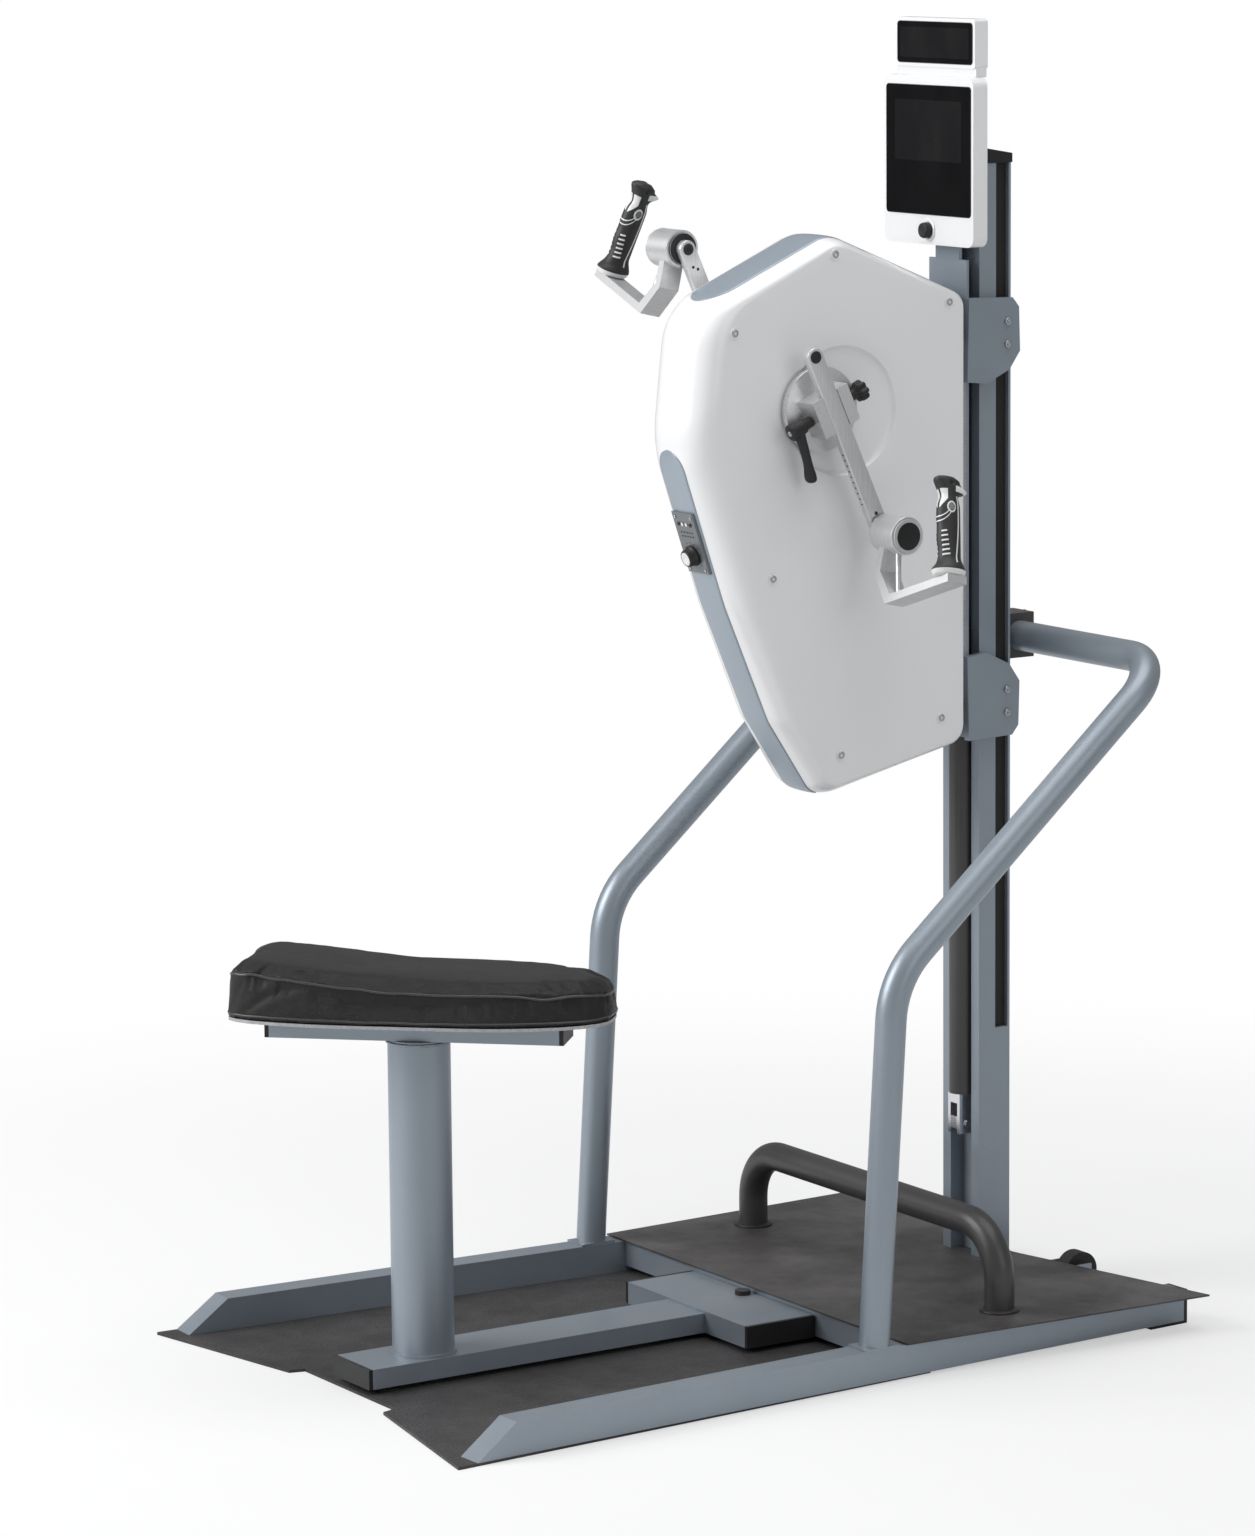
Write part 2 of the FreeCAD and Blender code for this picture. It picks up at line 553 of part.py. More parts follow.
def wheel_bracket(label, side):
    """Bent plate under the platform's rear edge that carries a transport wheel."""
    top = "matThickness + railHeight"
    outer = "bracketHalf + bracketThickness"
    x = side + "wheelX"
    start = "crossDepth / 2"
    plates = []
    for index, sign in enumerate("+-"):
        low, high = ("bracketHalf", outer) if sign == "+" else ("-(%s)" % outer, "-bracketHalf")
        plates.append(box("%sCheek%d" % (label, index), ("%s + %s" % (x, low),
                                                         "%s + %s" % (x, high)),
                          (start, "wheelY + axleRadius + bracketThickness"),
                          ("wheelZ - axleRadius - bracketThickness", top)))
    body = fuse(label + "Cheeks", *plates)
    hole = rod(label + "Hole", "axleRadius", (x + " - bracketHalf - bracketThickness - overrun",
                                              x + " + bracketHalf + bracketThickness + overrun"),
               ("wheelY", "wheelZ"), "X")
    bridge = box(label + "Bridge", ("%s - (%s)" % (x, outer), "%s + %s" % (x, outer)),
                 (start, start + " + bracketThickness"),
                 ("wheelZ - axleRadius - bracketThickness", top))
    return fuse(label, cut(label + "Drilled", body, hole), bridge)


def wheel_axle(label, side):
    reach = "(bracketHalf + bracketThickness + boltHead)"
    x = side + "wheelX"
    return rod(label, "axleRadius", ("%s - %s" % (x, reach), "%s + %s" % (x, reach)),
               ("wheelY", "wheelZ"), "X")


def wheel_brackets():
    return group("wheel_brackets", wheel_bracket("rightBracket", ""),
                 wheel_bracket("leftBracket", "-"), wheel_axle("rightAxle", ""),
                 wheel_axle("leftAxle", "-"))


def transport_wheel(label, side):
    x = side + "wheelX"
    tyre = rod(label + "Tyre", "wheelRadius", (x + " - wheelWidth / 2", x + " + wheelWidth / 2"),
               ("wheelY", "wheelZ"), "X")
    hub = rod(label + "Hub", "wheelRadius / 2", (x + " - hubWidth / 2", x + " + hubWidth / 2"),
              ("wheelY", "wheelZ"), "X")
    bore = rod(label + "Bore", "axleRadius + axleGap",
               (x + " - hubWidth / 2 - overrun", x + " + hubWidth / 2 + overrun"),
               ("wheelY", "wheelZ"), "X")
    return cut(label, fuse(label + "Blank", tyre, hub), bore)


def seat_beam():
    """Beam under the seat post, joined to the crossbar at its rear end."""
    length = ("beamFrontY", "crossbarFrontY")
    outer = box("beamBlank", ("-beamHalf", "beamHalf"), length, ("beamBottomZ", "beamTopZ"))
    inner = box("beamHollow", ("beamWall - beamHalf", "beamHalf - beamWall"),
                ("beamFrontY - overrun", "crossbarFrontY - beamWall"),
                ("beamBottomZ + beamWall", "beamTopZ - beamWall"))
    return cut("seat_beam", outer, inner)


def seat_crossbar():
    """Crossbar whose rear wall slides over the clamp tongue of the base."""
    outer = box("crossbarBlank", ("-crossbarHalf", "crossbarHalf"),
                ("crossbarFrontY", "crossbarRearY"), ("beamBottomZ", "crossbarTopZ"))
    inner = box("crossbarHollow", ("-crossbarHalf - overrun", "crossbarHalf + overrun"),
                ("crossbarFrontY + beamWall", "crossbarRearY - beamWall"),
                ("beamBottomZ + beamWall", "crossbarTopZ - beamWall"))
    window = box("tongueWindow", ("-tongueHalf - tongueGap", "tongueHalf + tongueGap"),
                 ("crossbarRearY - beamWall - overrun", "crossbarRearY + overrun"),
                 ("tongueBottomZ - tongueGap", "tongueTopZ + tongueGap"))
    hole = rod("knobHole", "pinRadius + pinGap",
               ("crossbarTopZ - beamWall - overrun", "crossbarTopZ + overrun"), ("0", "pinY"))
    return cut("seat_crossbar", outer, inner, window, hole)


def seat_frame_caps():
    """Plastic caps in the open ends of the crossbar and of the beam."""
    middle = "(crossbarFrontY + crossbarRearY) / 2"
    reach = "(crossbarRearY - crossbarFrontY) / 2"
    plate = box("crossCapPlate", ("crossbarHalf", "crossbarHalf + capThickness"),
                ("crossbarFrontY", "crossbarRearY"), ("beamBottomZ", "crossbarTopZ"))
    plug = box("crossCapPlug", ("crossbarHalf - capPlug", "crossbarHalf"),
               (middle + " - %s + beamWall + plugGap" % reach,
                middle + " + %s - beamWall - plugGap" % reach),
               ("beamBottomZ + beamWall + plugGap", "crossbarTopZ - beamWall - plugGap"))
    right = fuse("crossCap", plate, plug)
    face = box("beamCapPlate", ("-beamHalf", "beamHalf"), ("beamFrontY - capThickness",
                                                          "beamFrontY"),
               ("beamBottomZ", "beamTopZ"))
    tail = box("beamCapPlug", ("beamWall + plugGap - beamHalf", "beamHalf - beamWall - plugGap"),
               ("beamFrontY", "beamFrontY + capPlug"),
               ("beamBottomZ + beamWall + plugGap", "beamTopZ - beamWall - plugGap"))
    return group("seat_frame_caps", right, mirrored("crossCapLeft", right),
                 fuse("beamCap", face, tail))


def seat_frame_feet():
    """Levelling feet between the seat frame and the mat."""
    spots = [("crossbarHalf - 2 * footRadius", "(crossbarFrontY + crossbarRearY) / 2"),
             ("2 * footRadius - crossbarHalf", "(crossbarFrontY + crossbarRearY) / 2"),
             ("beamHalf - footRadius", "beamFrontY + 2 * footRadius"),
             ("footRadius - beamHalf", "beamFrontY + 2 * footRadius")]
    feet = []
    for index, spot in enumerate(spots):
        glide = rod("glide%d" % index, "footRadius",
                    ("matThickness", "matThickness + footGlide"), spot)
        stem = rod("glideStem%d" % index, "footRadius / 2",
                   ("matThickness + footGlide", "beamBottomZ"), spot)
        feet.append(fuse("levelFoot%d" % index, glide, stem))
    return group("seat_frame_feet", *feet)


def seat_post():
    """Tube with a foot flange, and the sleeve in its top that the seat turns in."""
    spot = ("0", "postY")
    tube = rod("postOuter", "postRadius", ("beamTopZ", "postTopZ"), spot)
    flange = rod("postFlange", "postFlange", ("beamTopZ", "beamTopZ + postFlangeThickness"),
                 spot)
    hollow = rod("postHollow", "postRadius - postWall",
                 ("beamTopZ - overrun", "postTopZ + overrun"), spot)
    sleeve = pipe("postSleeve", "postRadius - postWall", "spindleRadius + spindleGap",
                  ("postTopZ - spindleLength", "postTopZ"), spot)
    return group("seat_post", cut("postTube", fuse("postBlank", tube, flange), hollow), sleeve)


def frame_knob():
    """Clamp screw with a low head, which presses on the clamp tongue."""
    spot = ("0", "pinY")
    screw = rod("clampScrew", "pinRadius", ("tongueTopZ + pinGap",
                                            "crossbarTopZ + pinKnobHeight / 2"), spot)
    knob = rod("clampKnob", "pinKnob", ("crossbarTopZ + spindleGap",
                                        "crossbarTopZ + spindleGap + pinKnobHeight"), spot)
    return fuse("frame_knob", screw, knob)


def seat_place(item):
    """Puts a piece of the seat on the post's axis, turned with the seat."""
    place(item, "0", from_column("postY"), "postTopZ + spindleGap", (0, 0, 1), "-seatTurn")
    return item


def seat_tube():
    """Carrier tube under the seat with the spindle that turns in the post."""
    length = ("-seatTubeLength / 2", "seatTubeLength / 2")
    outer = box("seatTubeBlank", ("-seatTubeHalf", "seatTubeHalf"), length,
                ("0", "seatTubeHeight"), local=True)
    inner = box("seatTubeHollow", ("seatTubeWall - seatTubeHalf",
                                   "seatTubeHalf - seatTubeWall"),
                ("-seatTubeLength / 2 - overrun", "seatTubeLength / 2 + overrun"),
                ("seatTubeWall", "seatTubeHeight - seatTubeWall"), local=True)
    spindle = rod("seatSpindle", "spindleRadius", ("-spindleLength", "0"), ("0", "0"),
                  local=True)
    return seat_place(fuse("seat_tube", cut("seatTubeBody", outer, inner), spindle))


def seat_tube_caps():
    caps = []
    for index, sign in enumerate(("", "-")):
        near, far, deep = ("%s(seatTubeLength / 2)" % sign,
                           "%s(seatTubeLength / 2 + capThickness)" % sign,
                           "%s(seatTubeLength / 2 - capPlug)" % sign)
        face_span = (near, far) if sign == "" else (far, near)
        plug_span = (deep, near) if sign == "" else (near, deep)
        face = box("seatCapFace%d" % index, ("-seatTubeHalf", "seatTubeHalf"), face_span,
                   ("0", "seatTubeHeight"), local=True)
        edge = "seatTubeHalf - seatTubeWall - plugGap"
        plug = box("seatCapPlug%d" % index, ("-(%s)" % edge, edge), plug_span,
                   ("seatTubeWall + plugGap", "seatTubeHeight - seatTubeWall - plugGap"),
                   local=True)
        caps.append(fuse("seatCap%d" % index, face, plug))
    return seat_place(group("seat_tube_caps", *caps))


def seat_plate():
    """Plate under the cushion, which follows the cushion's plan a little inside it."""
    low = size("seatTubeHeight")
    inset = size("seatPlateInset")
    right = []
    for along, half, _ in CUSHION_SHARES:
        reach = size("cushionFront") if along > 0 else size("cushionRear")
        right.append(Vector(half * size("cushionHalf") - inset, along * (reach - inset), low))
    left = [Vector(-spot.x, spot.y, spot.z) for spot in reversed(right)]
    outline = Part.makePolygon(right + left + right[:1])
    plate = Part.Face(outline).extrude(Vector(0, 0, size("seatPlateThickness")))
    return seat_place(feature("seat_plate", plate))


def cushion_section(along, half, low, top):
    """Closed cushion outline: flat below, bulged sides, a seam line and a crowned top."""
    height = top - low
    seam = low + height * 0.8
    groove = half * 0.012
    right = [
        (half * 0.93, low), (half, low + height * 0.42), (half * 0.975, seam),
        (half * 0.975 - groove, seam + groove), (half * 0.97, seam + 2 * groove),
        (half * 0.9, low + height * 0.955), (half * 0.76, low + height * 0.985),
    ]

    def spot(pair, side):
        return Vector(side * pair[0], along, pair[1])

    bottom, bulge, edge, notch, lip, shoulder, rim = [spot(pair, 1) for pair in right]
    other = [spot(pair, -1) for pair in right]
    crown = Vector(0, along, top)
    edges = [
        Part.makeLine(other[0], bottom), Part.Arc(bottom, bulge, edge).toShape(),
        Part.makeLine(edge, notch), Part.makeLine(notch, lip),
        Part.Arc(lip, shoulder, rim).toShape(), Part.Arc(rim, crown, other[6]).toShape(),
        Part.Arc(other[6], other[5], other[4]).toShape(), Part.makeLine(other[4], other[3]),
        Part.makeLine(other[3], other[2]), Part.Arc(other[2], other[1], other[0]).toShape(),
    ]
    return Part.Wire(edges)


def seat_cushion():
    """Padded seat lofted through its sections, raised at the rider's back."""
    low = size("seatTubeHeight") + size("seatPlateThickness")
    wires = []
    for along, half, high in CUSHION_SHARES:
        reach = size("cushionFront") if along > 0 else size("cushionRear")
        wires.append(cushion_section(along * reach, half * size("cushionHalf"), low,
                                     low + high * size("cushionHeight")))
    item = feature("seat_cushion", Part.makeLoft(wires, True, False))
    return seat_place(item)


def carriage_plate():
    return box("carriage_plate", ("-bracketInner", "bracketInner"),
               ("plateY - carriagePlate", "plateY"), ("carriageBottomZ", "carriageTopZ"))


def side_bracket(label, low, high, flipped):
    """Side plate that holds a guide shoe; the lower ones are the upper ones turned over."""
    depth = "(bracketRearY - bracketFrontY)"
    height = "(%s - %s)" % (high, low)
    points = []
    for along, up in BRACKET_SHARES:
        share = 1 - up if flipped else up
        points.append(("bracketFrontY + %g * %s" % (along, depth),
                       "%s + %g * %s" % (low, share, height)))
    return prism(label, "YZ_Plane", points, "bracketInner", "bracketInner + bracketSide")


def carriage_brackets():
    upper = side_bracket("upperBracket", "upperBottomZ", "upperTopZ", False)
    lower = side_bracket("lowerBracket", "lowerBottomZ", "lowerTopZ", True)
    return group("carriage_brackets", upper, lower, mirrored("upperBracketLeft", upper),
                 mirrored("lowerBracketLeft", lower))


def guide_shoes():
    """Sliding blocks in the column's side slots and pads on its front face."""
    shoes = []
    for index, (low, high) in enumerate((("upperBottomZ", "upperTopZ"),
                                         ("lowerBottomZ", "lowerTopZ"))):
        z = ("%s + 4 * screwRadius" % low, "%s - 4 * screwRadius" % high)
        shoe = box("shoe%d" % index,
                   ("columnHalf - slotDepth + stripThickness + shoeGap", "bracketInner"),
                   ("slotLowY + shoeGap", "slotHighY - shoeGap"), z)
        pad = box("pad%d" % index, ("columnHalf - padInset - padHalf",
                                    "columnHalf - padInset + padHalf"),
                  ("plateY", "-columnDepth / 2 - shoeGap"), z)
        shoes += [shoe, mirrored("shoeLeft%d" % index, shoe),
                  pad, mirrored("padLeft%d" % index, pad)]
    return group("guide_shoes", *shoes)


def bracket_screws():
    """Heads of the screws that hold the guide shoes, at shares of the bracket's height."""
    outer = "bracketInner + bracketSide"
    heads = []
    for index, (low, high, share) in enumerate((
            ("upperBottomZ", "upperTopZ", 0.71), ("upperBottomZ", "upperTopZ", 0.446),
            ("lowerBottomZ", "lowerTopZ", 0.554), ("lowerBottomZ", "lowerTopZ", 0.29))):
        height = "%s + %g * (%s - %s)" % (low, share, high, low)
        head = rod("shoeScrew%d" % index, "screwRadius", (outer, outer + " + screwHead"),
                   ("(slotLowY + slotHighY) / 2", height), "X")
        heads += [head, mirrored("shoeScrewLeft%d" % index, head)]
    return heads


def outline_point(along, up, inset=0):
    return Vector(0, size("housingRearY") - along * size("housingDepth") + inset,
                  size("housingBottomZ") + up * size("housingHeight"))


def outline_slab(offset, half):
    """The housing's side outline, grown by an offset and drawn out to both sides."""
    points = [outline_point(along, up) for along, up, _ in OUTLINE_SHARES]
    radii = [share * size("housingDepth") for _, _, share in OUTLINE_SHARES]
    wire = rounded_wire(points, radii)
    if offset:
        wire = wire.makeOffset2D(offset)
    slab = Part.Face(wire).extrude(Vector(2 * half, 0, 0))
    slab.translate(Vector(-half, 0, 0))
    return slab


def nose_section(share, half, inset):
    """Plan of the housing at one height: straight sides and a round nose."""
    along, up, roundness = share
    front = outline_point(along, up, inset)
    cheek = front.y + roundness * size("housingNose")
    rear = size("housingRearY") + size("housingWall") + size("overrun")
    corners = [Vector(half, rear, front.z), Vector(half, cheek, front.z),
               Vector(-half, cheek, front.z), Vector(-half, rear, front.z)]
    return Part.Wire([
        Part.makeLine(corners[0], corners[1]),
        Part.Arc(corners[1], front, corners[2]).toShape(),
        Part.makeLine(corners[2], corners[3]), Part.makeLine(corners[3], corners[0]),
    ])


def housing_form(inset):
    """The housing's form with rounded edges, a round nose and a dish in each side."""
    half = size("housingHalf") - inset
    slab = outline_slab(-inset, half)
    rims = [edge for edge in slab.Edges
            if edge.BoundBox.XLength < size("overrun") / 1000]
    slab = slab.makeFillet(size("housingEdge") - inset, rims)
    nose = Part.makeLoft([nose_section(share, half, inset) for share in NOSE_SHARES], True,
                         False)
    form = slab.common(nose)
    depth, reach = size("dishDepth"), size("dishRadius")
    ball = (reach * reach + depth * depth) / (2 * depth)
    for side in (1, -1):
        centre = Vector(side * (half - depth + ball), size("dishY"), size("dishZ"))
        form = form.cut(Part.makeSphere(ball, centre))
    return form


def strip_form():
    """Flat strip down the middle of the nose, round at its upper end."""
    half = size("stripHalf")
    inset = size("stripInset")
    band = outline_slab(0, half).cut(outline_slab(-inset, half + size("overrun")))
    top = outline_point(*OUTLINE_SHARES[3][:2])
    tail = outline_point(*OUTLINE_SHARES[6][:2])
    bottom = tail.z - size("overrun")
    length = tail.y - top.y + inset
    start = Vector(-half, tail.y - length, bottom)
    reach = Part.makeBox(2 * half, length, top.z - bottom - half, start)
    end = Part.makeCylinder(half, length, Vector(0, start.y, top.z - half), Vector(0, 1, 0))
    return band.common(reach.fuse(end))


def housing_half(label, side):
    """One shell of the housing, open at the rear for the drive's chassis."""
    wall = size("housingWall")
    shell = housing_form(0).cut(housing_form(wall)).cut(strip_form())
    half = size("chassisHalf") + size("chassisPlate")
    window = Part.makeBox(2 * half, 2 * wall + 2 * size("overrun"),
                          size("windowTopZ") - size("windowBottomZ"),
                          Vector(-half, size("housingRearY") - wall - size("overrun"),
                                 size("windowBottomZ")))
    reach = size("housingHalf") + size("overrun")
    bore = Part.makeCylinder(size("shaftRadius") + size("shaftRelief"), 2 * reach,
                             Vector(-reach, size("crankY"), size("crankZ")), Vector(1, 0, 0))
    room = size("housingDepth") * 2
    half_space = Part.makeBox(room, room, 2 * room, Vector(0 if side > 0 else -room, -room, 0))
    return feature(label, shell.cut(window).cut(bore).common(half_space))


def housing_trims():
    """Grey bands: one over the top of the nose and one down its middle."""
    lift = size("trimThickness")
    half = size("trimHalf")
    rise = outline_slab(lift, half).common(housing_form(0 - lift))
    band = rise.cut(housing_form(0))
    crest = outline_point(*OUTLINE_SHARES[1][:2])
    front = outline_point(*OUTLINE_SHARES[2][:2])
    low = front.z + size("housingEdge")
    start = front.y
    room = Part.makeBox(2 * half, crest.y + size("trimTail") - start - half,
                        2 * size("trimTail"), Vector(-half, start + half, low))
    room = room.fuse(Part.makeCylinder(half, 2 * size("trimTail"),
                                       Vector(0, start + half, low)))
    return group("housing_trims", feature("topTrim", band.common(room)),
                 feature("noseStrip", strip_form().cut(knob_hole(size("housingNose")))))


def strip_spot():
    """Point on the nose strip at the control knob's height, and the strip's slope there."""
    above = outline_point(*OUTLINE_SHARES[3][:2])
    below = outline_point(*OUTLINE_SHARES[4][:2])
    along = (size("knobZ") - above.z) / (below.z - above.z)
    spot = above + (below - above) * along
    slope = math.degrees(math.atan2(below.y - above.y, above.z - below.z))
    return spot, slope


def knob_hole(reach):
    spot, slope = strip_spot()
    outward = Vector(0, -math.cos(math.radians(slope)), -math.sin(math.radians(slope)))
    return Part.makeCylinder(size("knobShaft") + size("swivelGap"), 2 * reach,
                             spot - outward * reach, outward)


def control_panel():
    """Thin panel that follows the nose strip, with two screws above its knob."""
    half = size("panelHalf")
    plate = outline_slab(size("panelThickness"), half)
    plate = plate.cut(outline_slab(0, half + size("overrun")))
    start = outline_point(*OUTLINE_SHARES[3][:2]).y - 2 * size("panelThickness")
    room = Part.makeBox(2 * half, size("housingDepth") / 2, size("panelTopZ")
                        - size("panelBottomZ"), Vector(-half, start, size("panelBottomZ")))
    plate = plate.common(room).cut(knob_hole(size("housingNose")))
    return feature("control_panel", plate)


def control_knob():
    """Knob on a shaft square to the nose strip."""
    spot, slope = strip_spot()
    outward = Vector(0, -math.cos(math.radians(slope)), -math.sin(math.radians(slope)))
    base = spot + outward * (size("panelThickness") + size("swivelGap"))
    skirt = Part.makeCylinder(size("knobRadius"), size("knobLength") / 3, base, outward)
    grip = Part.makeCone(size("knobRadius"), size("knobFaceRadius"), size("knobLength") * 2 / 3,
                         base + outward * (size("knobLength") / 3), outward)
    shaft = Part.makeCylinder(size("knobShaft"), size("knobShaftLength")
                              + size("panelThickness"), base, -outward)
    return feature("control_knob", skirt.fuse([grip, shaft]).removeSplitter())


def side_screws():
    heads = []
    for index, (along, up) in enumerate(FACE_SCREW_SHARES):
        centre = ("housingRearY - %g * housingDepth" % along,
                  "housingBottomZ + %g * housingHeight" % up)
        head = rod("faceScrew%d" % index, "faceScrew",
                   ("housingHalf", "housingHalf + faceScrewHead"), centre, "X")
        heads += [head, mirrored("faceScrewLeft%d" % index, head)]
    return heads


def housing_screws():
    return group("housing_screws", *(side_screws() + bracket_screws()))


def chassis_plates():
    """Two plates from the carriage plate into the housing, which carry the shafts."""
    rim = "2 * bearingRadius"
    low = "flywheelZ - flywheelRadius - brakeGap - brakeBack"
    plate = prism("chassisBlank", "YZ_Plane", [
        ("plateY - carriagePlate", low), ("flywheelY - brakeHalf", low),
        ("flywheelY - brakeHalf", "flywheelZ"), ("crankY - (%s)" % rim, "crankZ - bearingRadius"),
        ("crankY - (%s)" % rim, "crankZ + bearingRadius"), ("crankY", "crankZ + (%s)" % rim),
        ("plateY - carriagePlate", "crankZ + 2 * (%s)" % rim),
    ], "chassisHalf", "chassisHalf + chassisPlate")
    span = ("chassisHalf - overrun", "chassisHalf + chassisPlate + overrun")
    crank = rod("crankSeat", "bearingRadius", span, ("crankY", "crankZ"), "X")
    wheel = rod("wheelSeat", "bearingRadius", span, ("flywheelY", "flywheelZ"), "X")
    right = cut("chassisRight", plate, crank, wheel)
    return group("chassis_plates", right, mirrored("chassisLeft", right))


def shaft_bearings():
    span = ("chassisHalf + chassisPlate - bearingLength", "chassisHalf + chassisPlate")
    rings = []
    for index, centre in enumerate((("crankY", "crankZ"), ("flywheelY", "flywheelZ"))):
        ring = pipe("bearing%d" % index, "bearingRadius", "shaftRadius + bearingGap", span,
                    centre, "X")
        rings += [ring, mirrored("bearingLeft%d" % index, ring)]
    return group("shaft_bearings", *rings)


def magnet_brake():
    """Horseshoe magnet round the rim of the flywheel, held by the left chassis plate."""
    top = "flywheelZ - flywheelRadius + brakeReach"
    low = "flywheelZ - flywheelRadius - brakeGap - brakeBack"
    block = box("brakeBlank", ("-chassisHalf", "flywheelLow + flywheelWidth + brakeGap + "
                                               "brakeCheek"),
                ("flywheelY - brakeHalf", "flywheelY + brakeHalf"), (low, top))
    slot = rod("brakeSlot", "flywheelRadius + brakeGap",
               ("flywheelLow - brakeGap", "flywheelLow + flywheelWidth + brakeGap"),
               ("flywheelY", "flywheelZ"), "X")
    return cut("magnet_brake", block, slot)


def flywheel():
    """Flywheel with the small sheave that the belt drives, on one shaft."""
    centre = ("flywheelY", "flywheelZ")
    disc = rod("flywheelDisc", "flywheelRadius", ("flywheelLow",
                                                  "flywheelLow + flywheelWidth"), centre, "X")
    sheave = rod("flywheelSheave", "sheaveRadius", ("pulleyLow", "pulleyLow + pulleyWidth"),
                 centre, "X")
    shaft = rod("flywheelShaft", "shaftRadius", ("-chassisHalf - chassisPlate",
                                                 "chassisHalf + chassisPlate"), centre, "X")
    return fuse("flywheel", disc, sheave, shaft)


def belt_loop(grow):
    """Solid within the belt's loop round both pulleys, grown by an amount."""
    big, small = size("pulleyRadius") + grow, size("sheaveRadius") + grow
    first = Vector(0, size("crankY"), size("crankZ"))
    second = Vector(0, size("flywheelY"), size("flywheelZ"))
    line = (second - first)
    tilt = math.asin((big - small) / line.Length)
    ahead = line.normalize()
    across = Vector(0, -ahead.z, ahead.y)
    rim = []
    for sign in (1, -1):
        outward = across * (sign * math.cos(tilt)) + ahead * math.sin(tilt)
        rim.append((first + outward * big, second + outward * small))
    wire = Part.Wire([
        Part.makeLine(rim[0][0], rim[0][1]),
        Part.Arc(rim[0][1], second + ahead * small, rim[1][1]).toShape(),
        Part.makeLine(rim[1][1], rim[1][0]),
        Part.Arc(rim[1][0], first - ahead * big, rim[0][0]).toShape(),
    ])
    loop = Part.Face(wire).extrude(Vector(size("pulleyWidth"), 0, 0))
    loop.translate(Vector(size("pulleyLow"), 0, 0))
    return loop


def drive_belt():
    gap = size("beltGap")
    return feature("drive_belt", belt_loop(gap + size("beltThickness")).cut(belt_loop(gap)))


def crank_spindle():
    return rod("crank_spindle", "shaftRadius", ("-discHigh", "discHigh"),
               ("crankY", "crankZ"), "X")


def drive_pulley():
    return pipe("drive_pulley", "pulleyRadius", "shaftRadius",
                ("pulleyLow", "pulleyLow + pulleyWidth"), ("crankY", "crankZ"), "X")


def crank_place(item):
    """Turns a piece drawn along an upright crank into the crank's own angle."""
    place(item, "0", from_column("crankY"), "crankZ", (1, 0, 0), "crankAngle")
    return item


def crank_clamps():
    """Disc on each end of the spindle with the block that grips a crank bar."""
    origin = ("0", "0")
    disc = rod("clampDisc", "discRadius", ("discLow", "discHigh"), origin, "X", local=True)
    block = box("clampBlank", ("discHigh", "blockHigh"), ("-blockHalf", "blockHalf"),
                ("-blockReach", "blockReach"), local=True)
    bore = rod("clampBore", "shaftRadius", ("discLow - overrun", "discHigh"), origin, "X",
               local=True)
    through = ("-blockReach - overrun", "blockReach + overrun")
    groove = box("clampGroove", ("barX - barThickness / 2 - barGap",
                                 "barX + barThickness / 2 + barGap"),
                 ("-barWidth / 2 - barGap", "barWidth / 2 + barGap"), through, local=True)
    hole = rod("clampHole", "clampBolt + clampGap", ("-blockHalf - overrun",
                                                     "blockHalf + overrun"),
               ("clampX", "0"), "Y", local=True)
    right = cut("clampRight", fuse("clampBody", disc, block), bore, groove, hole)
    return crank_place(group("crank_clamps", right, mirrored("clampLeft", right)))


def crank_bar(label, pivot, end, mirror):
    """Rectangular crank bar, round where its handle's pin is and plugged at the other end."""
    x = ("barX - barThickness / 2", "barX + barThickness / 2")
    up = not end.startswith("-")
    span = (pivot, end) if up else (end, pivot)
    cap = (end, end + " + plugThickness") if up else (end + " - plugThickness", end)
    run = (pivot, end + " + overrun") if up else (end + " - overrun", pivot)
    tube = box(label + "Blank", x, ("-barWidth / 2", "barWidth / 2"), span, local=True)
    hollow = box(label + "Hollow", (x[0] + " + barWall", x[1] + " - barWall"),
                 ("barWall - barWidth / 2", "barWidth / 2 - barWall"), run, local=True)
    knuckle = rod(label + "Knuckle", "barWidth / 2", x, ("0", pivot), "X", local=True)
    pin = rod(label + "Pin", "swivelPin", (x[1], "barrelHigh - swivelCapLength"),
              ("0", pivot), "X", local=True)
    screw = rod(label + "Screw", "pivotScrew", (x[0] + " - pivotScrewHead", x[0]),
                ("0", pivot), "X", local=True)
    bar = fuse(label + "Body", cut(label + "Tube", tube, hollow), knuckle, pin)
    plug = box(label + "Plug", x, ("-barWidth / 2", "barWidth / 2"), cap, local=True)
    whole = group(label + "Right" if mirror else label, bar, plug, screw)
    if mirror:
        whole = mirrored(label, whole)
    return crank_place(whole)


def crank_bar_right():
    return crank_bar("crank_bar_right", "-rightReach", "barEnd", False)


def crank_bar_left():
    return crank_bar("crank_bar_left", "leftReach", "-barTail", True)


